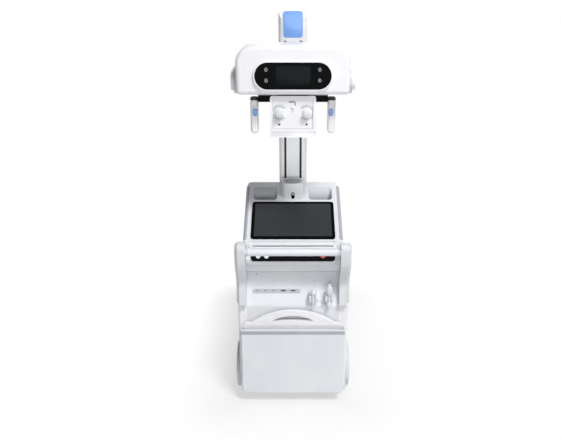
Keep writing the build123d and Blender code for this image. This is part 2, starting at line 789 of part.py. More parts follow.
# Parking post for the folded arm, with its rubber pad and key switch
post_middle_y = at((post_from_rear + post_to_rear) / 2)
post_foot_z = deck_z(post_from_rear)
with BuildPart() as parking_post:
    with BuildSketch(Plane.XY.offset(post_foot_z - post_corner)):
        with Locations((0, post_middle_y)):
            RectangleRounded(2 * post_half_width, post_to_rear - post_from_rear, post_corner)
    extrude(amount=post_rise + post_corner)
    # Flared foot, drawn on the sloping deck
    with BuildSketch(deck_plane((post_from_rear + post_to_rear) / 2)):
        RectangleRounded(2 * (post_half_width + post_flare), (post_to_rear - post_from_rear) * along,
                         post_corner + post_flare)
    extrude(amount=post_flare, taper=45)
    with BuildSketch(Plane.YZ.offset(-post_half_width - post_flare)):
        with BuildLine():
            flare_y = at(post_from_rear) - post_flare
            Polyline((flare_y, post_foot_z - 3 * post_corner),
                     (flare_y, deck_z(post_from_rear - post_flare)),
                     (at(post_to_rear), deck_z(post_to_rear)),
                     (at(post_to_rear), post_foot_z - 3 * post_corner), close=True)
        make_face()
    extrude(amount=2 * (post_half_width + post_flare), mode=Mode.SUBTRACT)
    with BuildSketch(Plane.XY.offset(post_top_z - post_pad_recess)):
        with Locations((0, post_middle_y)):
            Circle(post_pad_radius)
    extrude(amount=post_pad_recess, mode=Mode.SUBTRACT)
    with BuildSketch(Plane.XZ.offset(-at(post_from_rear))):
        with Locations((0, post_top_z - key_drop)):
            SlotOverall(key_height, key_width, rotation=90)
    extrude(amount=-key_t, mode=Mode.SUBTRACT)
parking_post.part.label = "parking_post"
export_step(parking_post.part, "parts/parking_post.step")

with BuildPart() as post_pad:
    with BuildSketch(Plane.XY.offset(post_top_z - post_pad_recess)):
        with Locations((0, post_middle_y)):
            Circle(post_pad_radius)
    extrude(amount=post_pad_t)
post_pad.part.label = "post_pad"
export_step(post_pad.part, "parts/post_pad.step")

with BuildPart() as key_switch:
    with BuildSketch(Plane.XZ.offset(-at(post_from_rear) - key_t)):
        with Locations((0, post_top_z - key_drop)):
            SlotOverall(key_height, key_width, rotation=90)
    extrude(amount=key_t + key_proud)
key_switch.part.label = "key_switch"
export_step(key_switch.part, "parts/key_switch.step")

# Control strip under the push handle, with two knobs and the stop button
strip_place = (0, at(strip_foot_from_rear) + nose_lean_y / 2, strip_low_z + nose_lean_z / 2)
strip_plane = Plane(origin=strip_place, x_dir=(1, 0, 0), z_dir=(0, -nose_lean_z, nose_lean_y))
with BuildPart() as control_strip:
    with BuildSketch(strip_plane):
        RectangleRounded(strip_width, strip_height, strip_corner)
    extrude(amount=strip_t)
control_strip.part.label = "control_strip"
export_step(control_strip.part, "parts/control_strip.step")

first_knob_x = knob_inset - strip_width / 2
with BuildPart() as control_knobs:
    with BuildSketch(strip_plane.offset(strip_t)):
        with Locations((first_knob_x, -knob_drop), (first_knob_x + knob_spacing, -knob_drop)):
            Circle(knob_radius)
    extrude(amount=knob_t)
control_knobs.part.label = "control_knobs"
export_step(control_knobs.part, "parts/control_knobs.step")

with BuildPart() as stop_button:
    with BuildSketch(strip_plane.offset(strip_t)):
        with Locations((strip_width / 2 - stop_inset, -stop_drop)):
            Circle(stop_radius)
    extrude(amount=stop_t)
    fillet(stop_button.edges().filter_by(GeomType.CIRCLE).sort_by(Axis.Y)[0], stop_round)
stop_button.part.label = "stop_button"
export_step(stop_button.part, "parts/stop_button.step")

# Connector strip at the bottom of its recess
with BuildPart() as port_strip:
    with BuildSketch(cove_plane(port_z).offset(-panel_normal_t)):
        with Locations((port_x, 0)):
            SlotOverall(port_length, port_height)
    extrude(amount=port_t)
    with BuildSketch(cove_plane(port_z).offset(port_t - panel_normal_t)):
        for from_middle, width, height in sockets:
            with Locations((port_x + from_middle, socket_rise)):
                Rectangle(width, height)
    extrude(amount=-socket_depth, mode=Mode.SUBTRACT)
port_strip.part.label = "port_strip"
export_step(port_strip.part, "parts/port_strip.step")

# Detector bin: an open-topped pocket on the cabinet's rear
with BuildPart() as detector_bin:
    with BuildSketch(Plane.XZ.offset(-at(bin_depth))) as bin_face:
        with Locations((0, (ground_gap + bin_top_z) / 2)):
            Rectangle(2 * bin_half_width, bin_top_z - ground_gap)
        fillet(bin_face.vertices().group_by(Axis.Y)[0], bin_corner)
    extrude(amount=bin_depth)
    outer_face = detector_bin.faces().sort_by(Axis.Y)[0]
    fillet(outer_face.edges().sort_by(Axis.Z)[:-1], bin_edge)
    with BuildSketch(Plane.XZ.offset(-at(bin_depth - bin_wall))):
        with Locations((0, (ground_gap + bin_floor_t + bin_top_z + bin_lip) / 2)):
            Rectangle(2 * (bin_half_width - bin_wall), bin_top_z + bin_lip - ground_gap - bin_floor_t)
    extrude(amount=bin_depth - 2 * bin_wall, mode=Mode.SUBTRACT)
    with BuildSketch(Plane.XZ.offset(-at(0))):
        with Locations((0, bin_top_z - bin_lip - groove_height / 2)):
            Rectangle(2 * bin_half_width, groove_height)
    extrude(amount=-groove_depth, mode=Mode.SUBTRACT)
detector_bin.part.label = "detector_bin"
export_step(detector_bin.part, "parts/detector_bin.step")

# Flat detector in its carrying frame, lifted out by the arched handle
detector_foot_z = ground_gap + bin_floor_t
shoulder_z = bin_top_z + detector_rise
corner_z = shoulder_z - detector_corner
shoulder_x = detector_half_width - detector_corner
finger_z = shoulder_z + detector_slot_rise
with BuildPart() as detector_panel:
    with BuildSketch(Plane.XZ.offset(-at(detector_from_rear + detector_t))):
        with BuildLine():
            for side, word in sides:
                Line((0, detector_foot_z), (side * detector_half_width, detector_foot_z))
                Line((side * detector_half_width, detector_foot_z), (side * detector_half_width, corner_z))
                RadiusArc((side * detector_half_width, corner_z), (side * shoulder_x, shoulder_z),
                          -side * detector_corner)
                Line((side * shoulder_x, shoulder_z), (side * detector_arch_half_width, shoulder_z))
            ThreePointArc((detector_arch_half_width, shoulder_z), (0, shoulder_z + detector_arch_rise),
                          (-detector_arch_half_width, shoulder_z))
        make_face()
        with BuildLine():
            Line((-detector_slot_half_width, finger_z), (detector_slot_half_width, finger_z))
            ThreePointArc((detector_slot_half_width, finger_z), (0, finger_z + detector_slot_height),
                          (-detector_slot_half_width, finger_z))
        make_face(mode=Mode.SUBTRACT)
    extrude(amount=detector_t)
    # The detector's face lies a little lower than the rim of its frame
    face_height = shoulder_z - detector_foot_z - 2 * detector_rim
    with BuildSketch(Plane.XZ.offset(-at(detector_from_rear))):
        with Locations((0, (detector_foot_z + shoulder_z) / 2)):
            RectangleRounded(2 * (detector_half_width - detector_rim), face_height,
                             detector_corner - detector_rim)
    extrude(amount=-detector_face_recess, mode=Mode.SUBTRACT)
detector_panel.part.label = "detector_panel"
export_step(detector_panel.part, "parts/detector_panel.step")


# Claws for the hand pieces: two forked blocks joined by a bridge, set on the slope of the cove
def cove_face_y(height):
    return at(cabinet_rear_from_rear + (height - cove_foot_z) / slope_dz * slope_dy) - skin


claw_high_z = claw_low_z + claw_height
claw_front_y = cove_face_y(claw_low_z) - claw_reach
hand_y = claw_front_y + claw_slot / 2
with BuildPart() as switch_bracket:
    for place in claw_x:
        with BuildSketch(Plane.YZ.offset(place - claw_slot / 2 - claw_prong)) as claw_side:
            with BuildLine():
                Polyline((cove_face_y(claw_low_z), claw_low_z), (cove_face_y(claw_high_z), claw_high_z),
                         (claw_front_y, claw_high_z), (claw_front_y, claw_low_z), close=True)
            make_face()
            chamfer(claw_side.vertices().sort_by_distance((claw_front_y, claw_low_z))[0], claw_chamfer)
        extrude(amount=claw_slot + 2 * claw_prong)
    with BuildSketch(Plane.YZ.offset(claw_x[0])):
        with BuildLine():
            Polyline((cove_face_y(claw_low_z), claw_low_z), (cove_face_y(claw_high_z), claw_high_z),
                     (cove_face_y(claw_high_z) - bridge_t, claw_high_z),
                     (cove_face_y(claw_low_z) - bridge_t, claw_low_z), close=True)
        make_face()
    extrude(amount=claw_x[1] - claw_x[0])
    with BuildSketch(Plane.XY.offset(claw_low_z)):
        for place in claw_x:
            with Locations((place, hand_y)):
                Circle(claw_slot / 2)
            with Locations((place, hand_y - claw_slot / 2)):
                Rectangle(claw_slot, claw_slot)
    extrude(amount=claw_height, mode=Mode.SUBTRACT)
switch_bracket.part.label = "switch_bracket"
export_step(switch_bracket.part, "parts/switch_bracket.step")

for place, word, outline in zip(claw_x, hand_names, hand_outlines):
    with BuildPart() as hand_unit:
        with BuildSketch(Plane(origin=(place, hand_y, claw_low_z), x_dir=(1, 0, 0), z_dir=(0, -1, 0))):
            with BuildLine():
                Polyline((0, outline[0][1]), *outline, (0, outline[-1][1]), close=True)
            make_face()
        revolve(axis=Axis((place, hand_y, claw_low_z), (0, 0, 1)))
        fillet(hand_unit.edges().filter_by(GeomType.CIRCLE).group_by(Axis.Z)[-1], 2)
    hand_unit.part.label = word
    export_step(hand_unit.part, f"parts/{word}.step")

# Front cover: flat under the column, then a long slope and a rounded nose
def cover_volume(inset):
    rear_y = at(cabinet_front_from_rear) - inset
    low_z = cover_low_z - inset
    beyond = 2 * body_gap
    half_width = cover_half_width - inset
    flat_end = (at(cover_flat_to_rear), cover_flat_z)
    brow = (at(cover_brow_from_rear), cover_brow_z)
    nose = (at(cover_nose_from_rear) - cover_lean, cover_nose_z)
    toe = (at(cover_nose_from_rear), cover_low_z - 2 * inset)
    with BuildPart() as volume:
        with BuildSketch(Plane.YZ.offset(-half_width - beyond)) as side_view:
            with BuildLine():
                Polyline((rear_y - beyond, toe[1]), (rear_y - beyond, cover_flat_z), flat_end, brow, nose,
                         toe, close=True)
            make_face()
            fillet(side_view.vertices().sort_by_distance(flat_end)[0], cover_flat_round)
            fillet(side_view.vertices().sort_by_distance(brow)[0], cover_brow_round)
            fillet(side_view.vertices().sort_by_distance(nose)[0], cover_nose_round)
            if inset > 0:
                offset(amount=-inset, kind=Kind.INTERSECTION, mode=Mode.REPLACE)
        extrude(amount=2 * (half_width + beyond))
        with BuildSketch(Plane.XY.offset(low_z - beyond)) as plan_view:
            front_y = at(cover_nose_from_rear) + cover_bulge - inset
            with Locations((0, (rear_y + front_y) / 2)):
                Rectangle(2 * half_width, front_y - rear_y)
            fillet(plan_view.vertices().group_by(Axis.Y)[-1], cover_corner - inset)
        extrude(amount=cover_flat_z, mode=Mode.INTERSECT)
    return volume.part


with BuildPart() as front_cover:
    add(cover_volume(0))
    add(cover_volume(cover_wall), mode=Mode.SUBTRACT)
    with BuildSketch(Plane.XY.offset(cover_flat_z - 2 * cover_wall)):
        with Locations((0, at(column_from_rear))):
            Circle(pedestal_radius + body_gap)
    extrude(amount=4 * cover_wall, mode=Mode.SUBTRACT)
front_cover.part.label = "front_cover"
export_step(front_cover.part, "parts/front_cover.step")

# Bumper band round the nose
with BuildPart() as bumper:
    with BuildSketch(Plane.XY.offset(bumper_low_z)) as band:
        with Locations((0, (at(cover_brow_from_rear) + at(cover_nose_from_rear) + bumper_t) / 2)):
            Rectangle(2 * (cover_half_width + bumper_t),
                      cover_nose_from_rear + bumper_t - cover_brow_from_rear)
        fillet(band.vertices().group_by(Axis.Y)[-1], cover_corner + bumper_t)
    extrude(amount=bumper_high_z - bumper_low_z)
    add(cover_volume(0), mode=Mode.SUBTRACT)
bumper.part.label = "bumper"
export_step(bumper.part, "parts/bumper.step")

# Pedestal that carries the turning column
with BuildPart() as pedestal:
    with BuildSketch(Plane.XY.offset(chassis_plate_z + chassis_plate_t)):
        with Locations((0, at(column_from_rear))):
            Circle(pedestal_radius)
    extrude(amount=turntable_low_z - seat_gap - chassis_plate_z - chassis_plate_t)
pedestal.part.label = "pedestal"
export_step(pedestal.part, "parts/pedestal.step")

# Turntable
with BuildPart() as turntable:
    with BuildSketch(Plane.XY.offset(turntable_low_z)):
        with Locations((0, at(column_from_rear))):
            Circle(turntable_radius)
    extrude(amount=turntable_t)
    fillet(turntable.edges().group_by(Axis.Z)[-1], turntable_round)
turntable.part.label = "turntable"
export_step(turntable.part, "parts/turntable.step")

# Column: a hollow extrusion with two guide slots in its rear wall
with BuildPart() as column_mast:
    with BuildSketch(Plane.XY.offset(column_foot_z)):
        with Locations((0, at(column_from_rear))):
            RectangleRounded(column_width, column_depth, column_corner)
            RectangleRounded(column_width - 2 * column_wall, column_depth - 2 * column_wall,
                             column_corner - column_wall, mode=Mode.SUBTRACT)
    extrude(amount=column_cap_z - column_foot_z)
    with BuildSketch(Plane.XZ.offset(-at(column_rear_from_rear))):
        with Locations((-slot_x, (slot_low_z + slot_high_z) / 2), (slot_x, (slot_low_z + slot_high_z) / 2)):
            Rectangle(slot_width, slot_high_z - slot_low_z)
    extrude(amount=-column_wall, mode=Mode.SUBTRACT)
column_mast.part.label = "column_mast"
export_step(column_mast.part, "parts/column_mast.step")

# Column cap, rounded over, and the coloured inlay let into its rear and top
with BuildSketch() as inlay_strip:
    with Locations((at(column_from_rear), (column_cap_z + column_top_z) / 2)):
        Rectangle(column_depth, column_top_z - column_cap_z)
    fillet(inlay_strip.vertices().group_by(Axis.Y)[-1], column_cap_round)
    with BuildSketch(mode=Mode.SUBTRACT) as inlay_core:
        with Locations((at(column_from_rear), (column_cap_z + column_top_z) / 2)):
            Rectangle(column_depth - 2 * inlay_t, column_top_z - column_cap_z - 2 * inlay_t)
        fillet(inlay_core.vertices().group_by(Axis.Y)[-1], column_cap_round - inlay_t)
    with Locations((at(column_from_rear) + column_depth / 4, (column_cap_z + column_top_z) / 2)):
        Rectangle(column_depth / 2, column_top_z - column_cap_z, mode=Mode.SUBTRACT)
    with Locations((at(column_from_rear), column_cap_z + inlay_foot / 2)):
        Rectangle(column_depth, inlay_foot, mode=Mode.SUBTRACT)
inlay_profile = inlay_strip.sketch

with BuildPart() as column_cap:
    with BuildSketch(Plane.XY.offset(column_cap_z)):
        with Locations((0, at(column_from_rear))):
            RectangleRounded(column_width, column_depth, column_corner)
    extrude(amount=column_top_z - column_cap_z)
    with BuildSketch(Plane.YZ.offset(-column_width / 2)) as cap_side:
        with Locations((at(column_from_rear), (column_cap_z + column_top_z) / 2)):
            Rectangle(column_depth, column_top_z - column_cap_z)
        fillet(cap_side.vertices().group_by(Axis.Y)[-1], column_cap_round)
    extrude(amount=column_width, mode=Mode.INTERSECT)
    with BuildSketch(Plane.YZ.offset(-inlay_width / 2)):
        add(inlay_profile)
    extrude(amount=inlay_width, mode=Mode.SUBTRACT)
column_cap.part.label = "column_cap"
export_step(column_cap.part, "parts/column_cap.step")

with BuildPart() as column_inlay:
    with BuildSketch(Plane.YZ.offset(-inlay_width / 2)):
        add(inlay_profile)
    extrude(amount=inlay_width)
column_inlay.part.label = "column_inlay"
export_step(column_inlay.part, "parts/column_inlay.step")

# Carriage that climbs the column, with two fins in the slots
with BuildPart() as carriage:
    with BuildSketch(Plane.XZ.offset(-at(carriage_front_from_rear))):
        with Locations((0, arm_axis_z + (carriage_above_axis - carriage_below_axis) / 2)):
            RectangleRounded(2 * carriage_half_width, carriage_above_axis + carriage_below_axis,
                             carriage_corner)
    extrude(amount=-carriage_t)
    fillet(carriage.edges().group_by(Axis.Y)[0], carriage_edge)
    with BuildSketch(Plane.XZ.offset(-at(carriage_front_from_rear + carriage_t))):
        with Locations((0, arm_axis_z + (fin_above_axis - fin_below_axis) / 2)):
            with Locations((-slot_x, 0), (slot_x, 0)):
                Rectangle(slot_width - 2 * seat_gap, fin_above_axis + fin_below_axis)
    extrude(amount=-(slide_gap + fin_reach))
    # Outer arm section, open towards the operator
    with BuildSketch(Plane.XZ.offset(-at(sleeve_mouth_from_rear))):
        with Locations((0, arm_axis_z)):
            RectangleRounded(sleeve_width, sleeve_height, section_corner)
    extrude(amount=-sleeve_reach)
    with BuildSketch(Plane.XZ.offset(-at(sleeve_mouth_from_rear))):
        with Locations((0, arm_axis_z)):
            RectangleRounded(sleeve_width - 2 * section_wall, sleeve_height - 2 * section_wall,
                             section_corner - section_wall)
    extrude(amount=-(sleeve_reach + carriage_t - section_wall), mode=Mode.SUBTRACT)
carriage.part.label = "carriage"
export_step(carriage.part, "parts/carriage.step")

# Middle and inner arm sections
mid_width = sleeve_width - 2 * section_wall - 2 * section_gap
mid_height = sleeve_height - 2 * section_wall - 2 * section_gap
mid_mouth_from_rear = sleeve_mouth_from_rear - section_step
with BuildPart() as arm_middle:
    with BuildSketch(Plane.XZ.offset(-at(mid_mouth_from_rear))):
        with Locations((0, arm_axis_z)):
            RectangleRounded(mid_width, mid_height, section_corner - section_wall)
            RectangleRounded(mid_width - 2 * section_wall, mid_height - 2 * section_wall, inner_corner,
                             mode=Mode.SUBTRACT)
    extrude(amount=-section_length)
arm_middle.part.label = "arm_middle"
export_step(arm_middle.part, "parts/arm_middle.step")

inner_width = mid_width - 2 * section_wall - 2 * section_gap
inner_height = mid_height - 2 * section_wall - 2 * section_gap
inner_mouth_from_rear = mid_mouth_from_rear - section_step
with BuildPart() as arm_inner:
    with BuildSketch(Plane.XZ.offset(-at(inner_mouth_from_rear))):
        with Locations((0, arm_axis_z)):
            RectangleRounded(inner_width, inner_height, inner_corner)
    extrude(amount=-section_length)
    with BuildSketch(Plane.XZ.offset(-at(inner_mouth_from_rear))):
        with Locations((0, arm_axis_z)):
            RectangleRounded(sleeve_width, sleeve_height, section_corner)
    extrude(amount=flange_t)
arm_inner.part.label = "arm_inner"
export_step(arm_inner.part, "parts/arm_inner.step")

# Yoke: a bent fork, drawn as a U in plan and cut to its side outline, on the roll hub
arm_end_from_rear = inner_mouth_from_rear - flange_t
yoke_outer_x = yoke_arm_inner_x + yoke_arm_t
yoke_back_y = at(yoke_beam_from_rear + yoke_beam_t)
yoke_tip_y = at(trunnion_from_rear) - yoke_arm_half_height
with BuildPart() as yoke:
    with BuildSketch(Plane.XY.offset(arm_axis_z - yoke_beam_half_height)) as fork_plan:
        with Locations((0, (yoke_tip_y + yoke_back_y) / 2)):
            Rectangle(2 * yoke_outer_x, yoke_back_y - yoke_tip_y)
        fillet(fork_plan.vertices().group_by(Axis.Y)[-1], yoke_bend + yoke_arm_t)
        with BuildSketch(mode=Mode.SUBTRACT) as fork_gap:
            with Locations((0, (yoke_tip_y + at(yoke_beam_from_rear)) / 2)):
                Rectangle(2 * yoke_arm_inner_x, at(yoke_beam_from_rear) - yoke_tip_y)
            fillet(fork_gap.vertices().group_by(Axis.Y)[-1], yoke_bend)
    extrude(amount=2 * yoke_beam_half_height)
    with BuildSketch(Plane.YZ.offset(-yoke_outer_x)) as fork_side:
        with Locations((at(trunnion_from_rear), arm_axis_z)):
            Circle(yoke_arm_half_height)
        with Locations((yoke_back_y, arm_axis_z)):
            Rectangle(2 * yoke_beam_t, 2 * yoke_beam_half_height)
        make_hull()
    extrude(amount=2 * yoke_outer_x, mode=Mode.INTERSECT)
    with BuildSketch(Plane.YZ.offset(-yoke_outer_x)):
        with Locations((at(trunnion_from_rear), arm_axis_z)):
            Circle(trunnion_radius + running_fit)
    extrude(amount=2 * yoke_outer_x, mode=Mode.SUBTRACT)
    with BuildSketch(Plane.XZ.offset(-at(arm_end_from_rear) + seat_gap)):
        with Locations((0, arm_axis_z)):
            Circle(yoke_hub_radius)
    extrude(amount=arm_end_from_rear - yoke_beam_from_rear - yoke_beam_t - seat_gap)
yoke.part.label = "yoke"
export_step(yoke.part, "parts/yoke.step")

# Tube head: crowned housing with soft shoulders
head_side_z = arm_axis_z + head_side_above_axis
head_crown_z = arm_axis_z + head_crown_above_axis
with BuildPart() as head_housing:
    with BuildSketch(Plane.XZ.offset(-at(head_front_from_rear + head_depth))) as head_face:
        with BuildLine():
            Line((-head_half_width, head_low_z), (head_half_width, head_low_z))
            Line((head_half_width, head_low_z), (head_half_width, head_side_z))
            ThreePointArc((head_half_width, head_side_z), (0, head_crown_z), (-head_half_width, head_side_z))
            Line((-head_half_width, head_side_z), (-head_half_width, head_low_z))
        make_face()
        fillet(head_face.vertices().group_by(Axis.Y)[-1], head_shoulder)
        fillet(head_face.vertices().group_by(Axis.Y)[0], head_chin)
    extrude(amount=head_depth)
    fillet(head_housing.edges().group_by(Axis.Y)[0] + head_housing.edges().group_by(Axis.Y)[-1], head_edge)
head_housing.part.label = "head_housing"
export_step(head_housing.part, "parts/head_housing.step")

# Trunnions at both ends of the head
with BuildPart() as trunnions:
    for side, word in sides:
        with BuildSketch(Plane.YZ.offset(side * head_half_width)):
            with Locations((at(trunnion_from_rear), arm_axis_z)):
                Circle(bush_radius)
        extrude(amount=side * (yoke_arm_inner_x - seat_gap - head_half_width))
        with BuildSketch(Plane.YZ.offset(side * head_half_width)):
            with Locations((at(trunnion_from_rear), arm_axis_z)):
                Circle(trunnion_radius)
        extrude(amount=side * (yoke_arm_inner_x + yoke_arm_t - head_half_width))
trunnions.part.label = "trunnions"
export_step(trunnions.part, "parts/trunnions.step")

# Display pod on the head
with BuildPart() as display_pod:
    with BuildSketch(Plane.XZ.offset(-at(head_front_from_rear))):
        with Locations((0, pod_z)):
            SlotOverall(pod_width, pod_height)
    extrude(amount=pod_proud)
    fillet(display_pod.edges().group_by(Axis.Y)[0], pod_edge)
    with BuildSketch(Plane.XZ.offset(-at(head_front_from_rear - pod_proud))):
        with Locations((0, pod_z)):
            SlotOverall(pod_width - 2 * display_rim, pod_height - 2 * display_rim)
    extrude(amount=-display_t, mode=Mode.SUBTRACT)
display_pod.part.label = "display_pod"
export_step(display_pod.part, "parts/display_pod.step")

with BuildPart() as display_glass:
    with BuildSketch(Plane.XZ.offset(-at(head_front_from_rear - pod_proud + display_t))):
        with Locations((0, pod_z)):
            SlotOverall(pod_width - 2 * display_rim, pod_height - 2 * display_rim)
    extrude(amount=display_t - display_recess)
display_glass.part.label = "display_glass"
export_step(display_glass.part, "parts/display_glass.step")

# Collimator: a box behind a framed fascia, with rails for accessories along its foot
with BuildPart() as collimator_box:
    with BuildSketch(Plane.XY.offset(collimator_low_z)):
        with Locations((0, at(trunnion_from_rear) + fascia_t / 2)):
            RectangleRounded(2 * collimator_half_width, collimator_depth - fascia_t, collimator_corner)
    extrude(amount=collimator_height)
    for height in rail_groove_heights:
        with BuildSketch(Plane.XY.offset(collimator_low_z + height)):
            with Locations((0, at(trunnion_from_rear) + fascia_t / 2)):
                RectangleRounded(2 * collimator_half_width, collimator_depth - fascia_t, collimator_corner)
                RectangleRounded(2 * (collimator_half_width - rail_groove),
                                 collimator_depth - fascia_t - 2 * rail_groove,
                                 collimator_corner - rail_groove, mode=Mode.SUBTRACT)
        extrude(amount=rail_groove, mode=Mode.SUBTRACT)
collimator_box.part.label = "collimator_box"
export_step(collimator_box.part, "parts/collimator_box.step")

with BuildPart() as collimator_fascia:
    with BuildSketch(Plane.XZ.offset(-at(collimator_front_from_rear + fascia_t))):
        with Locations((0, (collimator_low_z + fascia_top_z) / 2)):
            RectangleRounded(2 * collimator_half_width, fascia_top_z - collimator_low_z, fascia_corner)
    extrude(amount=fascia_t)
    recess_low_z = collimator_low_z + fascia_recess_foot
    recess_high_z = fascia_top_z - fascia_recess_head
    with BuildSketch(Plane.XZ.offset(-at(collimator_front_from_rear))):
        with Locations((0, (recess_low_z + recess_high_z) / 2)):
            RectangleRounded(2 * (collimator_half_width - fascia_border), recess_high_z - recess_low_z,
                             fascia_recess_corner)
    extrude(amount=-fascia_recess, mode=Mode.SUBTRACT)
    for height in rail_groove_heights:
        with BuildSketch(Plane.XZ.offset(-at(collimator_front_from_rear))):
            with Locations((0, collimator_low_z + height + rail_groove / 2)):
                Rectangle(2 * collimator_half_width, rail_groove)
        extrude(amount=-rail_groove, mode=Mode.SUBTRACT)
collimator_fascia.part.label = "collimator_fascia"
export_step(collimator_fascia.part, "parts/collimator_fascia.step")

dial_z = collimator_low_z + dial_height
with BuildPart() as dial_knobs:
    with BuildSketch(Plane.XZ.offset(-at(collimator_front_from_rear + fascia_recess))):
        with Locations((-dial_x, dial_z), (dial_x, dial_z)):
            Circle(dial_radius)
    extrude(amount=dial_t)
    fillet(dial_knobs.edges().group_by(Axis.Y)[0], dial_round)
    # Finger flutes round both knobs, short of the rim that lies on the fascia
    with BuildSketch(Plane.XZ.offset(-at(collimator_front_from_rear))):
        with Locations((-dial_x, dial_z), (dial_x, dial_z)):
            with PolarLocations(dial_radius + flute_radius / 2, dial_flutes):
                Circle(flute_radius)
    extrude(amount=dial_t, mode=Mode.SUBTRACT)
dial_knobs.part.label = "dial_knobs"
export_step(dial_knobs.part, "parts/dial_knobs.step")

with BuildPart() as grip_bracket:
    with BuildSketch(Plane.XY.offset(collimator_top_z)):
        with Locations((0, at(trunnion_from_rear))):
            Rectangle(2 * grip_x - grip_width, grip_bar_depth)
            Circle(neck_radius)
    extrude(amount=grip_bar_t)
    with BuildSketch(Plane.XY.offset(collimator_top_z + grip_bar_t)):
        with Locations((0, at(trunnion_from_rear))):
            Circle(neck_radius)
    extrude(amount=head_low_z - seat_gap - collimator_top_z - grip_bar_t)
grip_bracket.part.label = "grip_bracket"
export_step(grip_bracket.part, "parts/grip_bracket.step")

grip_low_z = collimator_low_z + grip_foot
grip_high_z = collimator_top_z + grip_head
for side, word in sides:
    with BuildPart() as grip:
        with BuildSketch(Plane.XZ.offset(-at(trunnion_from_rear) - grip_depth / 2)):
            with Locations((side * grip_x, (grip_low_z + grip_high_z) / 2)):
                RectangleRounded(grip_width, grip_high_z - grip_low_z, grip_corner)
        extrude(amount=grip_depth)
        fillet(grip.edges().group_by(Axis.Y)[0] + grip.edges().group_by(Axis.Y)[-1], grip_edge)
    grip.part.label = f"grip_{word}"
    export_step(grip.part, f"parts/grip_{word}.step")
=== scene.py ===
# %% [markdown]
# A mobile x-ray machine is a white moulded cabinet on four wheels, with a turning column that carries
# the tube head. The construction comes packed from the model; this lesson gives every surface its finish
# and adds the small things that a moulder, a printer or an assembler adds last.
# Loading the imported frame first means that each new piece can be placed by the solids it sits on.

# %% Load the frame
from math import radians

import bpy
import numpy as np
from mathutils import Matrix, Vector


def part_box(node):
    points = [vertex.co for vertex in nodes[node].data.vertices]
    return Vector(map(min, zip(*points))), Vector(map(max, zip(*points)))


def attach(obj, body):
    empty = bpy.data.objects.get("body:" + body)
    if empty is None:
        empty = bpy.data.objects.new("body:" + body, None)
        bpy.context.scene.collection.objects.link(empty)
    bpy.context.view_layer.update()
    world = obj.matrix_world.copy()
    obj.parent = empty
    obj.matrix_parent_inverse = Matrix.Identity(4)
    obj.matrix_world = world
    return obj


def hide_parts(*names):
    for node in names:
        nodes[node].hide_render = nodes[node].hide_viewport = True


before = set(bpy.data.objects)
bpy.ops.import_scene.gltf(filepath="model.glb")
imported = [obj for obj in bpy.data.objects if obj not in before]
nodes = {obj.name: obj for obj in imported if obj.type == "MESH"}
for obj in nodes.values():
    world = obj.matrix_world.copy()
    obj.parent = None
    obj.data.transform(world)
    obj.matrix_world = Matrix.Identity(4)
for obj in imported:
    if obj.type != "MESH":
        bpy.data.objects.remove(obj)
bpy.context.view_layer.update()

MM = 0.001
print("nodes loaded:", len(nodes))

# %% [markdown]
# The photograph was taken from the operator's side, about 3.5 m behind the middle of the machine and a
# little above head height, looking 20 degrees down. A lens can be found from the vanishing of widths:
# the bin below and the head above are about 540 mm wide each, and their widths in pixels give the
# distance. The camera comes first, so that everything after it can be judged in the right frame.

# %% Camera
CAMERA_BACK = 3.486
CAMERA_HEIGHT = 2.10
CAMERA_DOWN = 20.0
LENS = 40.6
MIDDLE_SHIFT = -0.0222

camera = bpy.data.objects.new("camera", bpy.data.cameras.new("camera"))
camera.location = (0.0, -CAMERA_BACK, CAMERA_HEIGHT)
camera.rotation_euler = (radians(90.0 - CAMERA_DOWN), 0.0, 0.0)
camera.data.lens = LENS
camera.data.sensor_width = 36.0
camera.data.shift_x = MIDDLE_SHIFT
bpy.context.collection.objects.link(camera)
bpy.context.scene.camera = camera
print("camera", tuple(round(value, 3) for value in camera.location))

# %% [markdown]
# Colours are written as the hex values a painter would read off a sample card, and one function turns
# them into the linear light that a shader works in. A second small function adds any shader node, sets
# its sockets by name and makes its links, so that each material below reads as a short recipe.

# %% Colours and shader nodes
def linear(code):
    """sRGB hex to linear: c / 12.92 for dark channels, ((c + 0.055) / 1.055) to the power 2.4 above."""
    channels = np.array([int(code[place:place + 2], 16) for place in (1, 3, 5)]) / 255.0
    light = np.where(channels <= 0.04045, channels / 12.92, ((channels + 0.055) / 1.055) ** 2.4)
    return (float(light[0]), float(light[1]), float(light[2]), 1.0)


def add_node(tree, kind, sockets=None, links=None, **settings):
    """Adds a node of that kind, sets its attributes and input sockets, and links outputs into it."""
    made = tree.nodes.new(kind)
    for name, value in settings.items():
        setattr(made, name, value)
    for name, value in (sockets or {}).items():
        made.inputs[name].default_value = value
    for name, output in (links or {}).items():
        tree.links.new(output, made.inputs[name])
    return made


def new_material(name):
    """An empty node material with its tree."""
    material = bpy.data.materials.new(name)
    material.use_nodes = True
    material.node_tree.nodes.clear()
    return material, material.node_tree


print("white card in linear light:", round(linear("#f4f4f6")[0], 3))

# %% [markdown]
# The machine stands in a white studio sweep. The floor could be lit until it burns out, but then the
# white housings would burn out too. Instead the floor and the world answer camera rays with plain white,
# and light the machine itself at a modest level. Close to the machine the floor keeps part of its own
# shading, so the shadow under it stays; farther out the paper goes over into pure white.

# %% Floor and world
FLOOR_SIZE = 16.0
FLOOR_WHITENESS = 0.55
FADE_WIDTH = 0.32
FOOTPRINT = (0.30, 0.60, 0.0)
WORLD_LEVEL = 0.13

floor_mesh = bpy.data.meshes.new("floor")
half = FLOOR_SIZE / 2
corners = [(-half, -half, 0), (half, -half, 0), (half, half, 0), (-half, half, 0)]
floor_mesh.from_pydata(corners, [], [(0, 1, 2, 3)])
floor = bpy.data.objects.new("floor", floor_mesh)
bpy.context.collection.objects.link(floor)

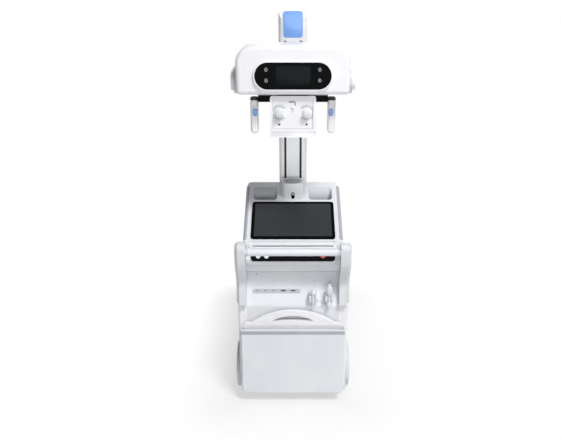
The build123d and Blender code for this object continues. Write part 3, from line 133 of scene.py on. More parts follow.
paper, tree = new_material("studio_paper")
path = add_node(tree, "ShaderNodeLightPath")
matt = add_node(tree, "ShaderNodeBsdfDiffuse", {"Color": linear("#f2f2f2")})
glow = add_node(tree, "ShaderNodeEmission", {"Color": (1, 1, 1, 1), "Strength": 1.0})
place = add_node(tree, "ShaderNodeTexCoord")
folded = add_node(tree, "ShaderNodeVectorMath", links={0: place.outputs["Object"]}, operation="ABSOLUTE")
beyond = add_node(tree, "ShaderNodeVectorMath", {1: FOOTPRINT}, {0: folded.outputs[0]},
                  operation="SUBTRACT")
beyond = add_node(tree, "ShaderNodeVectorMath", {1: (0.0, 0.0, 0.0)}, {0: beyond.outputs[0]},
                  operation="MAXIMUM")
away = add_node(tree, "ShaderNodeVectorMath", links={0: beyond.outputs[0]}, operation="LENGTH")
white = add_node(tree, "ShaderNodeMapRange",
                 {"From Max": FADE_WIDTH, "To Min": FLOOR_WHITENESS, "To Max": 1.0},
                 {"Value": away.outputs["Value"]})
seen = add_node(tree, "ShaderNodeMath", links={0: path.outputs["Is Camera Ray"], 1: white.outputs[0]},
                operation="MULTIPLY")
mixed = add_node(tree, "ShaderNodeMixShader",
                 links={0: seen.outputs[0], 1: matt.outputs[0], 2: glow.outputs[0]})
add_node(tree, "ShaderNodeOutputMaterial", links={"Surface": mixed.outputs[0]})
floor_mesh.materials.append(paper)

world = bpy.data.worlds.new("studio")
bpy.context.scene.world = world
world.use_nodes = True
tree = world.node_tree
tree.nodes.clear()
path = add_node(tree, "ShaderNodeLightPath")
seen = add_node(tree, "ShaderNodeMath",
                links={0: path.outputs["Is Camera Ray"], 1: path.outputs["Is Glossy Ray"]}, operation="MAXIMUM")
seen = add_node(tree, "ShaderNodeMath", links={0: seen.outputs[0], 1: path.outputs["Is Transmission Ray"]},
                operation="MAXIMUM")
level = add_node(tree, "ShaderNodeMapRange", {"To Min": WORLD_LEVEL, "To Max": 1.0},
                 {"Value": seen.outputs[0]})
sky = add_node(tree, "ShaderNodeBackground", {"Color": (1, 1, 1, 1)}, {"Strength": level.outputs[0]})
add_node(tree, "ShaderNodeOutputWorld", links={"Surface": sky.outputs[0]})
print("floor", FLOOR_SIZE, "m, world level", WORLD_LEVEL)

# %% [markdown]
# The shading in the photograph says where the lamps stood: right-hand sides are light, left-hand sides
# fall off to grey, and undersides are soft. So a large soft lamp stands high on the operator's right,
# and a weak broad one fills from the operator's side. A third, weak and behind the machine, only opens
# up the far sides. Large lamps give the wide soft highlights of a product shot; a narrow spot brightens
# the column, which stands in the shadow of the head.

# %% Lamps
scene = bpy.context.scene
scene.view_settings.view_transform = "Standard"


def hang(lamp, place, aim):
    """Hangs a lamp at place, turned towards aim."""
    holder = bpy.data.objects.new(lamp.name, lamp)
    holder.location = place
    holder.rotation_euler = (Vector(aim) - Vector(place)).to_track_quat("-Z", "Y").to_euler()
    bpy.context.collection.objects.link(holder)


def soft_lamp(name, place, aim, size, power):
    """A square area lamp of that size in metres and power in watts."""
    lamp = bpy.data.lights.new(name, "AREA")
    lamp.size = size
    lamp.energy = power
    hang(lamp, place, aim)


soft_lamp("key_lamp", (2.9, -4.7, 8.8), (0.0, -0.5, 1.0), 2.2, 705.0)
soft_lamp("front_fill", (0.5, -4.6, 1.8), (0.0, 0.0, 1.0), 2.4, 36.0)
soft_lamp("back_fill", (0.8, 5.6, 2.0), (0.0, 0.0, 0.9), 2.4, 110.0)
narrow = bpy.data.lights.new("column_spot", "SPOT")
narrow.energy = 150.0
narrow.spot_size = radians(5.4)
narrow.spot_blend = 0.5
hang(narrow, (0.3, -3.9, 1.9), (0.0, 0.03, 1.22))

# %% [markdown]
# Most of the machine is injection-moulded ABS, painted or self-coloured. Its mould is spark-eroded, so
# the surface is a fine even grain that makes highlights wide and soft. The real grain is about 0.3 mm,
# too fine to show from 3.5 m, so it is drawn at 4 mm with very little height. A slow change of tone over
# a hand's width keeps large panels from looking like flat paper. Noise, tones and the end of a material
# are the same in every recipe, so three small functions hold them.

# %% Moulded plastics
GRAIN_MM = 4.0
TONE_MM = 160.0

finishes = {}


def noise(tree, width_mm, detail=2.0):
    """Noise in object coordinates, with patches about that many millimetres wide."""
    place = add_node(tree, "ShaderNodeTexCoord")
    return add_node(tree, "ShaderNodeTexNoise", {"Scale": 1.0 / (width_mm * MM), "Detail": detail},
                    {"Vector": place.outputs["Object"]})


def two_tones(tree, pattern, dark, light, from_dark, to_light):
    """Colour ramp over a pattern: the dark tone up to one share of it, the light tone beyond another."""
    ramp = add_node(tree, "ShaderNodeValToRGB", links={"Fac": pattern.outputs["Fac"]})
    ends = ((from_dark, dark), (to_light, light))
    for element, (share, tone) in zip(ramp.color_ramp.elements, ends):
        element.position = share
        element.color = linear(tone)
    return ramp


def keep_finish(name, material, shader):
    """Ends the material in its output and files it under its name."""
    add_node(material.node_tree, "ShaderNodeOutputMaterial", links={"Surface": shader.outputs[0]})
    finishes[name] = material


def moulded(name, light_tone, dark_tone, roughness, grain_height=0.05, coat=0.0):
    """Moulded plastic: two near tones mixed by slow noise, and a fine grain as bump, in real sizes."""
    material, tree = new_material(name)
    ramp = two_tones(tree, noise(tree, TONE_MM), dark_tone, light_tone, 0.3, 0.7)
    grain = noise(tree, GRAIN_MM, 3.0)
    bump = add_node(tree, "ShaderNodeBump", {"Strength": 0.12, "Distance": grain_height * MM},
                    {"Height": grain.outputs["Fac"]})
    skin = add_node(tree, "ShaderNodeBsdfPrincipled",
                    {"Roughness": roughness, "IOR": 1.53, "Coat Weight": coat, "Coat Roughness": 0.12},
                    {"Base Color": ramp.outputs["Color"], "Normal": bump.outputs["Normal"]})
    keep_finish(name, material, skin)


moulded("abs_white", "#f3f3f6", "#eeeef2", 0.38)
moulded("abs_pearl_grey", "#d0d3d8", "#c6c9cf", 0.42)
moulded("abs_panel", "#e2e4e8", "#dbdde2", 0.40)
# Painted shade: a greyer copy of the white ABS, so the push-handle arms read as dark as their shade.
moulded("abs_arm_shaded_white", "#dcdfe3", "#d3d6da", 0.40)
moulded("abs_cheek", "#b2b5ba", "#a8abb1", 0.45)
moulded("abs_bin", "#e8eaee", "#e1e4e9", 0.40)
moulded("abs_knob", "#e4e6ea", "#d9dce0", 0.28, coat=0.3)
moulded("abs_signal_red", "#c8201c", "#b01613", 0.25, coat=0.4)
# Painted shade: a grey that stands in for the shade on the recessed port strip in the cove.
moulded("abs_recess_shade_grey", "#bfc2c7", "#b6b9be", 0.5)
# Pale grey for print, screws and seams, and for the painted shade line round the collimator's sunk field.
moulded("pale_ink_and_edge_shade", "#a9adb2", "#a2a6ab", 0.45)
moulded("ink_grey", "#8c9095", "#84888d", 0.5)
moulded("ink_black", "#141517", "#1a1b1d", 0.45)
print("moulded finishes:", len(finishes))

# %% [markdown]
# The column is an aluminium extrusion with powder-coat enamel, baked hard: a touch glossier than the
# mouldings and a little cooler. Powder melts into a faint orange peel, waves about 2 mm wide; they are
# drawn 6 mm wide so that they show at all.

# %% Enamels
PEEL_MM = 6.0


def enamel(name, tone, roughness, peel=0.06):
    """Baked enamel: one colour under a thin clear coat, with orange peel as bump."""
    material, tree = new_material(name)
    waves = noise(tree, PEEL_MM, 1.0)
    bump = add_node(tree, "ShaderNodeBump", {"Strength": 0.1, "Distance": peel * MM},
                    {"Height": waves.outputs["Fac"]})
    rough = add_node(tree, "ShaderNodeMapRange", {"To Min": roughness - 0.04, "To Max": roughness + 0.04},
                     {"Value": waves.outputs["Fac"]})
    skin = add_node(tree, "ShaderNodeBsdfPrincipled",
                    {"Base Color": linear(tone), "IOR": 1.5, "Coat Weight": 0.25, "Coat Roughness": 0.1},
                    {"Roughness": rough.outputs[0], "Normal": bump.outputs["Normal"]})
    keep_finish(name, material, skin)


enamel("enamel_column", "#f1f3f6", 0.34)
enamel("enamel_white", "#f3f3f6", 0.34)
enamel("enamel_chassis", "#4b4e54", 0.5)
print("finishes so far:", len(finishes))

# %% [markdown]
# Screens and the control strip are black-backed glass or acrylic: nearly black below, smooth on top, with
# an anti-glare coat that keeps reflections faint. A screen that is off still shows a blue-grey panel
# behind the glass. The blue accents are tinted polycarbonate, smooth under a thin clear coat.

# %% Glass and tinted plastics
CLOUD_MM = 80.0


def glossy(name, tone, roughness, coat=0.3, shine=0.5):
    """Smooth glass or acrylic over an opaque backing, cloudy by a faint noise a palm wide."""
    material, tree = new_material(name)
    cloud = noise(tree, CLOUD_MM)
    rough = add_node(tree, "ShaderNodeMapRange", {"To Min": roughness, "To Max": roughness + 0.05},
                     {"Value": cloud.outputs["Fac"]})
    skin = add_node(tree, "ShaderNodeBsdfPrincipled",
                    {"Base Color": linear(tone), "IOR": 1.5, "Specular IOR Level": shine,
                     "Coat Weight": coat, "Coat Roughness": 0.03}, {"Roughness": rough.outputs[0]})
    keep_finish(name, material, skin)


glossy("acrylic_black", "#060708", 0.2, 0.0, 0.03)
glossy("glass_screen", "#2e3033", 0.16, 0.0, 0.22)
glossy("glass_display", "#050607", 0.2, 0.0, 0.03)
glossy("glass_lcd", "#171b1e", 0.2, 0.0, 0.04)
glossy("polycarbonate_blue", "#80b0f8", 0.22)
glossy("polycarbonate_button", "#82b0f9", 0.22)
print("finishes so far:", len(finishes))

# %% [markdown]
# The tyres are pale non-marking rubber, as hospital floors ask for, and the bumper is a darker elastomer.
# Both are matt, with paler worn patches and a grain left by the sand-blasted mould. Bare metal shows only
# at axle, castor forks and the sliding arm section; it is brushed or zinc-plated, so its highlights
# spread along the brushing.

# %% Rubbers and metals
PATCH_MM = 35.0
RUBBER_GRAIN_MM = 3.0
BRUSH_MM = 2.0


def elastomer(name, tone, dust, roughness):
    """Rubber: one tone with patches of a dustier one, and a grain a few millimetres wide."""
    material, tree = new_material(name)
    ramp = two_tones(tree, noise(tree, PATCH_MM, 4.0), tone, dust, 0.35, 0.75)
    grain = noise(tree, RUBBER_GRAIN_MM)
    bump = add_node(tree, "ShaderNodeBump", {"Strength": 0.3, "Distance": 0.15 * MM},
                    {"Height": grain.outputs["Fac"]})
    skin = add_node(tree, "ShaderNodeBsdfPrincipled", {"Roughness": roughness, "IOR": 1.52},
                    {"Base Color": ramp.outputs["Color"], "Normal": bump.outputs["Normal"]})
    keep_finish(name, material, skin)


def brushed(name, tone, roughness, stretch):
    """Brushed metal: fine noise stretched along the brushing changes roughness and height."""
    material, tree = new_material(name)
    place = add_node(tree, "ShaderNodeTexCoord")
    pull = add_node(tree, "ShaderNodeMapping", {"Scale": stretch}, {"Vector": place.outputs["Object"]})
    lines = add_node(tree, "ShaderNodeTexNoise", {"Scale": 1.0 / (BRUSH_MM * MM)}, {"Vector": pull.outputs[0]})
    rough = add_node(tree, "ShaderNodeMapRange", {"To Min": roughness - 0.06, "To Max": roughness + 0.08},
                     {"Value": lines.outputs["Fac"]})
    bump = add_node(tree, "ShaderNodeBump", {"Strength": 0.15, "Distance": 0.04 * MM},
                    {"Height": lines.outputs["Fac"]})
    skin = add_node(tree, "ShaderNodeBsdfPrincipled", {"Base Color": linear(tone), "Metallic": 1.0},
                    {"Roughness": rough.outputs[0], "Normal": bump.outputs["Normal"]})
    keep_finish(name, material, skin)


elastomer("rubber_tyre", "#d3d6da", "#dde0e4", 0.7)
elastomer("rubber_bumper", "#6c7077", "#7b7f86", 0.6)
elastomer("rubber_pad", "#a2a5aa", "#adb0b4", 0.65)
elastomer("nylon_wheel", "#7c8087", "#8b8f95", 0.5)
# Black rubber for the grip caps, also the painted shade of the black sheet behind the column slots.
elastomer("rubber_cap_and_slot_shade", "#14161a", "#1c1e22", 0.5)
# Painted shade: the grey of the bin's shadowed groove, made with the rubber recipe.
elastomer("groove_shade_grey", "#a7abb2", "#afb3b9", 0.55)
brushed("steel_zinc", "#b9bcc0", 0.34, (1.0, 1.0, 8.0))
brushed("aluminium_satin", "#c9ccd0", 0.32, (1.0, 0.08, 1.0))
print("finishes:", sorted(finishes))

# %% [markdown]
# Each solid of the construction now gets its finish. A table of piece to finish is easier to read and to
# change than a call for each, and a check afterwards shows that no solid was forgotten.

# %% Dress the construction
worn_by = {
    "abs_white": ["side_cover_left", "side_cover_right", "front_cover", "head_housing", "display_pod",
                  "collimator_box", "collimator_fascia", "grip_left", "grip_right", "carriage",
                  "detector_panel"],
    "abs_pearl_grey": ["hub_cover_left", "hub_cover_right", "trunnions", "turntable", "cabinet_shell"],
    # painted shade: the recessed port strip is given a darker grey for its shade
    "abs_recess_shade_grey": ["port_strip"],
    "abs_bin": ["detector_bin", "handle_bar", "console_deck", "parking_post"],
    "abs_panel": ["rear_panel", "switch_bracket", "hand_piece", "hand_switch"],
    # painted shade: the arms wear a greyer copy of the white plastic
    "abs_arm_shaded_white": ["handle_arm_left", "handle_arm_right"],
    "abs_knob": ["control_knobs", "dial_knobs"],
    "abs_signal_red": ["stop_button"],
    "enamel_column": ["column_mast", "column_cap"],
    "enamel_white": ["yoke", "arm_inner"],
    "enamel_chassis": ["chassis_frame", "battery_block", "pedestal"],
    "acrylic_black": ["monitor_frame", "control_strip", "key_switch", "grip_bracket"],
    "glass_screen": ["monitor_glass"],
    "glass_display": ["display_glass"],
    "polycarbonate_blue": ["column_inlay"],
    "rubber_tyre": ["drive_tyre_left", "drive_tyre_right", "castor_tyre_left", "castor_tyre_right"],
    "rubber_bumper": ["bumper"],
    "rubber_pad": ["post_pad"],
    "nylon_wheel": ["drive_wheel_left", "drive_wheel_right", "castor_wheel_left", "castor_wheel_right"],
    "steel_zinc": ["drive_axle", "castor_fork_left", "castor_fork_right"],
    "aluminium_satin": ["arm_middle"],
}
dressed = set()
for finish, wearers in worn_by.items():
    for wearer in wearers:
        for slot in nodes[wearer].material_slots:
            slot.material = finishes[finish]
        dressed.add(wearer)
print("not dressed:", sorted(set(nodes) - dressed))

# %% [markdown]
# Everything that is added from here on is a small raised thing on a face: a window, a button, a mark, a
# socket. All of them are one surface. An outline runs round, a superellipse that goes from a circle
# (power 2) to a crisp rectangle (power 60), and a short profile runs across it, given as insets from the
# outline and lifts off the face. One function of two parameters makes them all, so their edges match.

# %% Raised pieces
FACING = ((1.0, 0.0, 0.0), (0.0, 0.0, 1.0))
LYING = ((1.0, 0.0, 0.0), (0.0, 1.0, 0.0))
SIDES = ((-1, "left"), (1, "right"))


def box_mm(node):
    """Low and high corner of a piece of the construction, in mm."""
    return [np.array(corner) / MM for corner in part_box(node)]


def add_piece(name, points, faces, finish, body):
    """Makes one smooth-shaded object of the points (metres) and faces, and lets it ride on the body."""
    mesh = bpy.data.meshes.new(name)
    mesh.from_pydata(points.reshape(-1, 3).tolist(), [], faces)
    mesh.materials.append(finishes[finish])
    mesh.shade_smooth()
    mesh.set_sharp_from_angle(angle=radians(35.0))
    piece = bpy.data.objects.new(name, mesh)
    bpy.context.collection.objects.link(piece)
    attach(piece, body)
    return piece


def ring_faces(rows, columns, closed_profile):
    """Quads between neighbour rows of points, the columns running round; row after row, outward."""
    steps = rows if closed_profile else rows - 1
    row, column = np.meshgrid(np.arange(steps), np.arange(columns), indexing="ij")
    above, beside = (row + 1) % rows, (column + 1) % columns
    corners = [row * columns + column, row * columns + beside,
               above * columns + beside, above * columns + column]
    return np.stack(corners, axis=-1).reshape(-1, 4).tolist()


def raised(name, centre, half_size, profile, finish, body, power=2.0, facing=FACING, columns=48,
           closed=False):
    """Superellipse outline with a profile across it, on a face.

    At angle t the outline is a |cos t|^(2/p) to the right and b |sin t|^(2/p) upward, with the signs of
    cos and sin; each profile row (inset, lift) shrinks a and b by the inset and raises it by the lift.
    Sizes are in mm. A closed profile makes a ring; an open one is capped at both ends.
    """
    right, upward = (np.array(axis, dtype=float) for axis in facing)
    outward = np.cross(right, upward)
    angle = np.linspace(0.0, 2.0 * np.pi, columns, endpoint=False)
    inset, lift = np.array(profile, dtype=float).T[:, :, None]
    across = (half_size[0] - inset) * np.sign(np.cos(angle)) * np.abs(np.cos(angle)) ** (2.0 / power)
    along = (half_size[1] - inset) * np.sign(np.sin(angle)) * np.abs(np.sin(angle)) ** (2.0 / power)
    lift = np.broadcast_to(lift, across.shape)
    points = np.array(centre, dtype=float) + (across[..., None] * right + along[..., None] * upward
                                              + lift[..., None] * outward)
    faces = ring_faces(len(profile), columns, closed)
    if not closed:
        last = (len(profile) - 1) * columns
        faces += [list(range(columns))[::-1], list(range(last, last + columns))]
    return add_piece(name, points * MM, faces, finish, body)


def flat(lift, edge=0.3, sink=0.6):
    """Profile of a thin plate: from below the face straight up, and over a small round edge."""
    return [(0.0, -sink), (0.0, lift - edge), (0.3 * edge, lift - 0.3 * edge), (edge, lift)]


def dome(radius, lift, rows=7, sink=0.6):
    """Profile of a dome: a quarter ellipse of that radius and lift, from the rim to near the pole."""
    turn = np.linspace(0.0, 0.47 * np.pi, rows)
    return [(0.0, -sink)] + list(zip(radius * (1.0 - np.cos(turn)), lift * np.sin(turn)))


def thin_ring(width):
    """Closed profile of a thin line of that width, for print and for painted shade lines: hardly raised above
    the face.
    """
    return [(0.0, -0.2), (0.0, 0.3), (width, 0.3), (width, -0.2)]


def face_y(node, depth=0.0):
    """Y in mm of the side of a piece that looks at the operator, plus a depth behind it."""
    return box_mm(node)[0][1] + depth


print("a plate has", len(flat(1.0)), "rows of points")

# %% [markdown]
# The display on the head is one black window with rounded ends. Behind it lies a slightly lighter screen,
# and four touch symbols are printed beside it. The symbols are thin printed rings with a dot, pale grey.

# %% Head display
SCREEN_Z = 1731
SYMBOL_X = 123
SYMBOL_HEIGHTS = (1709.5, 1758.0)

glass_y = face_y("display_glass")
raised("display_screen", (0, glass_y, SCREEN_Z), (80, 43), flat(0.25, 0.1), "glass_lcd", "tube_head",
       power=14.0)
for side, side_name in SIDES:
    for place, height in enumerate(SYMBOL_HEIGHTS):
        name = side_name + "_" + str(place)
        centre = (side * SYMBOL_X, glass_y, height)
        raised("symbol_ring_" + name, centre, (7.5, 9.0), thin_ring(2.4), "pale_ink_and_edge_shade", "tube_head",
               power=1.7, closed=True, columns=32)
        raised("symbol_dot_" + name, centre, (1.8, 2.6), flat(0.3, 0.1), "pale_ink_and_edge_shade", "tube_head", columns=20)
print("display face at y", round(glass_y, 1), "mm")

# %% [markdown]
# The collimator face is a moulded panel with a sunk field, and a thin pale line of painted shade marks
# the edge of the field. In the field are two field-size dials with printed scales, a lamp button, two index
# marks, and at the top the slot and the white hook of the measuring tape. The scales are grey ink; each tick
# is a thin bar, every fourth one longer.

# %% Collimator face
FIELD_DEPTH = 5.0
FIELD_BORDER = 13.0
FIELD_FOOT = 40.0
FIELD_HEAD = 18.0
DIAL_X = 64.5
DIAL_Z = 1556
TICKS = 49

field_y = face_y("collimator_fascia", FIELD_DEPTH)


def tick_scale(name, centre, inner, lengths, turns, finish, body, width=1.3, lift=0.25):
    """Thin bars set radially: at turn t a bar runs from the inner radius outward by its length.

    The corners of all bars come at once: (radius cos t, radius sin t), moved half a width to each side
    along (-sin t, cos t), at the face and at the lift.
    """
    turn = np.radians(turns)[:, None]
    radius = np.stack([inner + 0 * lengths, inner + lengths, inner + lengths, inner + 0 * lengths], axis=1)
    shift = np.array([-0.5, -0.5, 0.5, 0.5]) * width
    across = radius * np.cos(turn) - shift * np.sin(turn)
    along = radius * np.sin(turn) + shift * np.cos(turn)
    levels = np.stack([np.full_like(across, 0.2), np.full_like(across, -lift)])
    points = np.stack([np.stack([across + centre[0]] * 2), levels + centre[1],
                       np.stack([along + centre[2]] * 2)], axis=-1)
    points = points.transpose(1, 0, 2, 3).reshape(-1, 3)
    start = 8 * np.arange(len(turns))[:, None, None]
    sides = np.array([[0, 3, 2, 1], [4, 5, 6, 7], [0, 1, 5, 4], [1, 2, 6, 5], [2, 3, 7, 6], [3, 0, 4, 7]])
    return add_piece(name, points * MM, (start + sides).reshape(-1, 4).tolist(), finish, body)


for side, name in SIDES:
    turns = 90.0 - side * np.linspace(-45.0, 225.0, TICKS)
    lengths = np.where(np.arange(TICKS) % 4 == 0, 17.0, 11.0)
    tick_scale("dial_scale_" + name, (side * DIAL_X, field_y, DIAL_Z), 26.0, lengths, turns, "ink_grey",
               "collimator")
    raised("index_mark_" + name, (side * 65, field_y, 1500), (5.0, 5.0), flat(0.4), "ink_black", "collimator")
    raised("dial_cap_" + name, (side * DIAL_X, face_y("dial_knobs"), DIAL_Z), (16.0, 16.0), flat(1.2, 1.0),
           "abs_knob", "collimator")
raised("lamp_button", (-1, field_y, 1578), (8.5, 8.5), dome(8.5, 6.0), "abs_knob", "collimator")
raised("lamp_symbol", (-1, field_y, 1561), (4.5, 4.5), thin_ring(1.2), "ink_grey", "collimator", closed=True)
raised("tape_slot", (-6.5, field_y, 1606), (13.0, 2.6), flat(0.3), "ink_black", "collimator", power=6.0)
raised("tape_hook", (13, field_y, 1610), (6.0, 5.5), dome(5.5, 9.0), "abs_knob", "collimator", power=3.0)
raised("tape_hook_stem", (10, field_y, 1597), (2.6, 8.0), flat(1.8, 1.0), "ink_grey", "collimator", power=3.0)
low, high = box_mm("collimator_fascia")
field_low, field_high = low[2] + FIELD_FOOT, high[2] - FIELD_HEAD
# Painted shade: a thin pale ring drawn at the edge of the sunk field, where the recess shades its border.
raised("field_edge_shade", (0, field_y, (field_low + field_high) / 2),
       (high[0] - FIELD_BORDER, (field_high - field_low) / 2), thin_ring(1.6), "pale_ink_and_edge_shade", "collimator",
       power=60.0, columns=96, closed=True)
print("dial field at y", round(field_y, 1), "mm")

# %% [markdown]
# Each steering grip has a blue release key where the thumb lies: tinted polycarbonate, a low cushion in
# a thin dark gap.

# %% Grip keys
KEY_X = 182.5
KEY_Z = 1546

cushion = [(0, -0.6), (0, 1.2), (1.0, 2.1), (3.5, 2.8)]
for side, name in SIDES:
    grip_y = face_y("grip_" + name)
    centre = (side * KEY_X, grip_y, KEY_Z)
    raised("grip_key_gap_" + name, centre, (11.0, 18.5), flat(0.3), "ink_grey", "collimator", power=2.6)
    raised("grip_key_" + name, centre, (10.0, 17.5), cushion, "polycarbonate_button", "collimator", power=2.6)
print("grip keys at y", round(grip_y, 1), "mm")

# %% [markdown]
# The blue plate at the top of the column is tinted polycarbonate, punched from sheet with round corners
# and pressed into a rectangular pocket of the enamelled extrusion. It takes the place of the plain block
# of the construction, whose corners are sharp. The two guide slots below it are made black by painted
# shade: a black sheet stands inside the column behind the slotted wall, dark as the shade in the slots;
# the fins of the carriage end in front of it.

# %% Column plate and painted slot shade
COLUMN_WALL = 9.0
FIN_ROOM = 28.0

low, high = box_mm("column_inlay")
middle, size = (low + high) / 2, high - low
plate = raised("inlay_plate", (middle[0], high[1] - 0.2, middle[2]), (size[0] / 2, size[2] / 2),
               flat(size[1] - 0.2, 0.5, 0.0), "polycarbonate_blue", "column", power=8.0, columns=96)
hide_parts("column_inlay")
print("blue plate", np.round(size, 1).tolist())
# Painted shade: a black sheet behind the slotted wall makes the guide slots read as dark as their shade.
low, high = box_mm("column_mast")
raised("column_slot_shade_sheet", (0, low[1] + COLUMN_WALL + FIN_ROOM, (low[2] + high[2]) / 2),
       (high[0] - COLUMN_WALL - 3.0, (high[2] - low[2]) / 2 - 20.0), flat(1.0), "rubber_cap_and_slot_shade", "column",
       power=40.0)
print("liner", FIN_ROOM, "mm behind the slotted wall")

# %% [markdown]
# The key lock on the parking post is a black escutcheon with a bright barrel above the keyway. On the
# glossy strip under the handle lies the narrow window of an indicator row.

# %% Console details
STRIP_RISE = np.array([0.0, 22.0, 85.0])

raised("key_barrel", (0, face_y("key_switch"), 1061), (5.5, 6.0), dome(5.5, 3.0), "steel_zinc", "chassis")
low, high = box_mm("control_strip")
lean = STRIP_RISE / np.hypot(*STRIP_RISE[1:])
middle = (low + high) / 2 + np.array([0.0, -2.3, 0.0])
raised("indicator_window", (-4, middle[1], middle[2]), (43.5, 3.5), flat(0.6), "glass_screen", "chassis",
       power=8.0, facing=((1.0, 0.0, 0.0), tuple(lean)))
print("strip middle", np.round(middle, 1).tolist())

# %% [markdown]
# The connection strip in the cove carries three grey data sockets and two black ones. Each is a hood: its
# upper half is the dark mouth that a plug goes into. Three small screws hold the panel above it.

# %% Sockets and screws
PANEL_WALL_Y = -503.0
PORT_RISE = np.array([0.0, 53.0, 95.0])

low, high = box_mm("port_strip")
slope = PORT_RISE / np.hypot(*PORT_RISE[1:])
outward = np.cross((1.0, 0.0, 0.0), slope)
mouth = (low + high) / 2 + outward * 0.4 + slope * 3.0
sockets = ((-98, 6.5, 2.6, "ink_grey"), (-58, 6.5, 2.6, "ink_grey"), (-15, 6.5, 2.6, "ink_grey"),
           (36, 12.5, 3.2, "ink_black"), (86, 12.5, 3.2, "ink_black"))
for place, (x, half_width, half_height, finish) in enumerate(sockets):
    centre = mouth + np.array([x, 0.0, 0.0])
    raised("socket_" + str(place), tuple(centre), (half_width, half_height), flat(0.5, 0.3, 2.2), finish,
           "chassis", power=5.0, facing=((1.0, 0.0, 0.0), tuple(slope)))
screws = ((-188, 717, 4.0, "pale_ink_and_edge_shade"), (111, 675, 3.0, "ink_grey"), (195, 675, 3.0, "ink_grey"))
for place, (x, z, size, finish) in enumerate(screws):
    raised("panel_screw_" + str(place), (x, PANEL_WALL_Y, z), (size, size), dome(size, 1.2), finish, "chassis")
print("sockets:", len(sockets))

# %% [markdown]
# The grips hang from a black cross bar that wraps over their tops. The wrap is a soft rubber cap: a low
# dome on the rounded plan of the grip, so the bar seems to run on round the corner. The same loop lays a
# short grey collar round each end of the push handle, where the bar meets its arms.

# %% Grip caps and handle collars
cap = [(-0.6, 0.0), (-0.6, 7.0), (0.8, 11.0), (4.0, 13.6), (9.0, 14.6)]
collar = [(-2.2, -6.0), (-2.2, 6.0), (0.5, 6.0), (0.5, -6.0)]
bar_low, bar_high = box_mm("handle_bar")
bar_middle = (bar_low + bar_high) / 2
for side, name in SIDES:
    low, high = box_mm("grip_" + name)
    plan, middle = (high - low) / 2, (high + low) / 2
    centre = (middle[0], middle[1], high[2] - 9.0)
    raised("grip_cap_" + name, centre, (plan[0], plan[1]), cap, "rubber_cap_and_slot_shade", "collimator", power=3.4,
           facing=LYING)
    raised("handle_collar_" + name, (side * (bar_high[0] - 9.0), bar_middle[1], bar_middle[2]), (19.0, 19.0),
           collar, "abs_pearl_grey", "chassis", facing=((0.0, 1.0, 0.0), (0.0, 0.0, 1.0)), closed=True)
print("caps over the grips at", np.round(centre, 1).tolist())

# %% [markdown]
# Each storage well is lined with a thin grey tray. It is a cup whose plan is a rounded rectangle and whose
# rim is cut off by the sloping deck: every wall point rises by the same share of its own height.

# %% Well liners
DECK_RISE = 0.505
DECK_AT_REAR = 837.7
REAR_FACE_Y = -606.0
WELL_FLOOR_Z = 941.0
WELL_FROM_REAR = 424.0


def liner(name, x_middle, half_size, corner, floor_z, y_middle, finish, body, columns=64):
    """Cup with a sloping rim, on a rounded rectangle.

    The plan point at angle t is ((a - r) sign(cos t) + r cos t, (b - r) sign(sin t) + r sin t). Row by row
    it starts as a small oval on the floor, spreads to the walls over a round foot and climbs by a share of
    the height that the deck has above it: 837.7 + 0.505 (y + 606) - floor.
    """
    angle = (np.arange(columns) + 0.5) * 2.0 * np.pi / columns
    spread = np.array([0.02, 0.5, 0.93, 0.98, 1.0, 1.0, 1.0])[:, None]
    share = np.array([0.0, 0.0, 0.0, 0.02, 0.06, 0.5, 1.0])[:, None]
    across = (half_size[0] - corner) * np.sign(np.cos(angle)) + corner * np.cos(angle)
    along = (half_size[1] - corner) * np.sign(np.sin(angle)) + corner * np.sin(angle)
    x = x_middle + spread * across
    y = y_middle + spread * along
    z = floor_z + share * (DECK_AT_REAR + DECK_RISE * (y - REAR_FACE_Y) - floor_z)
    faces = ring_faces(len(spread), columns, False) + [list(range(columns))[::-1]]
    faces = [face[::-1] for face in faces]
    cup = add_piece(name, np.stack([x, y, z], axis=-1) * MM, faces, finish, body)
    wall = cup.modifiers.new("wall", "SOLIDIFY")
    wall.thickness = 1.0 * MM
    return cup


for side, name in SIDES:
    cup = liner("storage_liner_" + name, side * 150.0, (61.6, 42.6), 15.0, WELL_FLOOR_Z,
                REAR_FACE_Y + WELL_FROM_REAR, "abs_pearl_grey", "chassis")
print("liner wall", round(cup.modifiers["wall"].thickness / MM, 2), "mm")

# %% [markdown]
# Pieces that run across the machine, such as a moulded lip, are one profile carried along x and drawn in
# a little at both ends. The lip in front of the deck carries its slope on to the push handle and covers
# the upper edge of the control strip. The grey strip in the bin's groove is painted shade: a grey band
# laid in the groove where its shadow falls.

# %% Lip and painted groove shade
def carried(name, profile, half_length, finish, body, end=6.0):
    """Closed profile of (y, z) in mm carried from -half to +half along x.

    Near the ends the profile shrinks about its middle by sqrt(1 - s^2), where s goes from 0 to 1 over
    the last stretch, so that the ends are round.
    """
    turn = np.linspace(0.0, 0.45 * np.pi, 6)
    reach = half_length - end + end * np.sin(turn)
    x = np.concatenate([-reach[::-1], reach])
    size = np.concatenate([np.cos(turn)[::-1], np.cos(turn)])[:, None, None]
    ring = np.array(profile, dtype=float)
    middle = ring.mean(axis=0)
    yz = middle + size * (ring - middle)
    points = np.concatenate([np.broadcast_to(x[:, None, None], yz.shape[:2] + (1,)), yz], axis=-1)
    columns = len(profile)
    last = (len(x) - 1) * columns
    faces = ring_faces(len(x), columns, False)
    faces += [list(range(columns))[::-1], list(range(last, last + columns))]
    return add_piece(name, points * MM, faces, finish, body)


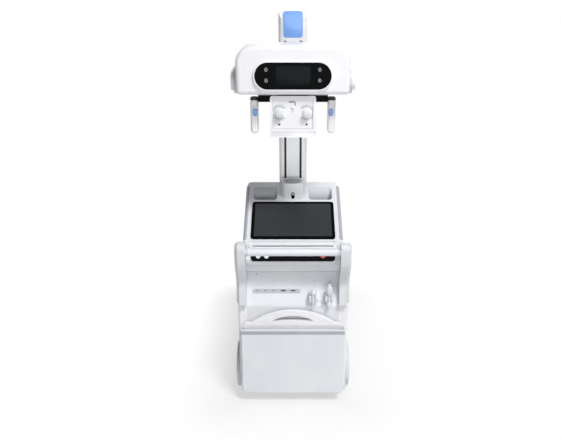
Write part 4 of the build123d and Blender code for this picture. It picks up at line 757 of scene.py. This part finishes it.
turn = np.linspace(0.0, 0.5 * np.pi, 7)
lip_round = np.stack([REAR_FACE_Y + 87.0 - 8.5 * np.sin(turn), 870.0 + 8.0 * np.cos(turn)], axis=-1)
lip = [(REAR_FACE_Y + 94.0, 884.4), *map(tuple, lip_round),
       (REAR_FACE_Y + 81.0, 865.0), (REAR_FACE_Y + 92.0, 862.0)]
carried("console_lip", lip, 221.0, "abs_white", "chassis")
half_width = box_mm("detector_bin")[1][0]
# Painted shade: a grey strip laid in the bin's groove, as dark as the shade in the groove.
raised("bin_groove_shade_strip", (0, face_y("detector_bin", 3.0), 428.0), (half_width - 0.5, 9.8), flat(2.2, 0.5),
       "groove_shade_grey", "chassis", power=60.0, columns=96)
panel_y = face_y("detector_panel", 3.0)
for place, x in enumerate((-162.0, 16.0)):
    raised("panel_joint_" + str(place), (x, panel_y, 454.0), (1.0, 8.0), flat(0.3, 0.1), "pale_ink_and_edge_shade", "chassis",
           power=6.0, columns=16)
print("bin groove shade strip", round(2 * half_width - 1.0), "mm wide")

# %% [markdown]
# The console sides are capped by a grey moulded trim that frames the white deck: a flat band on the top
# of each side and a narrower one on its bevel, both lying along the slope of the deck.

# %% Cheek trims
TRIM_FROM_REAR = 300.0
TRIM_X = 242.2
BEVEL_X = 251.2
BEVEL_DROP = 4.9

right = np.array([1.0, 0.0, 0.0])
slope = np.array([0.0, 1.0, DECK_RISE]) / np.hypot(1.0, DECK_RISE)
deck_normal = np.cross(right, slope)
middle = np.array([0.0, REAR_FACE_Y + TRIM_FROM_REAR, DECK_AT_REAR + DECK_RISE * TRIM_FROM_REAR])
for side, name in SIDES:
    raised("cheek_trim_" + name, tuple(middle + right * side * TRIM_X), (4.2, 198.0), flat(0.8, 0.4),
           "abs_cheek", "chassis", power=20.0, facing=(tuple(right), tuple(slope)), columns=64)
    bevel = (right - side * deck_normal) / np.sqrt(2.0)
    raised("cheek_bevel_" + name, tuple(middle + right * side * BEVEL_X - deck_normal * BEVEL_DROP),
           (6.6, 196.0), flat(0.8, 0.4), "abs_cheek", "chassis", power=20.0,
           facing=(tuple(bevel), tuple(slope)), columns=64)
print("trim slope", np.round(slope, 3).tolist())

# %% [markdown]
# Each drive wheel carries a blue trim ring of tinted polycarbonate on its outer side. From behind, the
# photograph shows only a spot of blue at the foot of the right wheel; a full ring is the likely shape of
# such a trim, because the wheel turns and the trim has to look the same in every position.

# %% Hub rings
AXLE_FROM_REAR = 200.0
AXLE_Z = 125.0
RING_RADIUS = 103.0

ring = [(0.0, -1.5), (0.0, 1.2), (1.2, 2.0), (5.0, 2.0), (6.2, 1.2), (6.2, -1.5)]
for side, name in SIDES:
    rim_x = side * abs(box_mm("drive_tyre_" + name)[side > 0][0])
    raised("hub_ring_" + name, (rim_x - side * 2.0, REAR_FACE_Y + AXLE_FROM_REAR, AXLE_Z),
           (RING_RADIUS, RING_RADIUS), ring, "polycarbonate_blue", "drive_wheel_" + name,
           facing=((0.0, float(side), 0.0), (0.0, 0.0, 1.0)), columns=96, closed=True)
print("hub rings", 2 * RING_RADIUS, "mm wide")
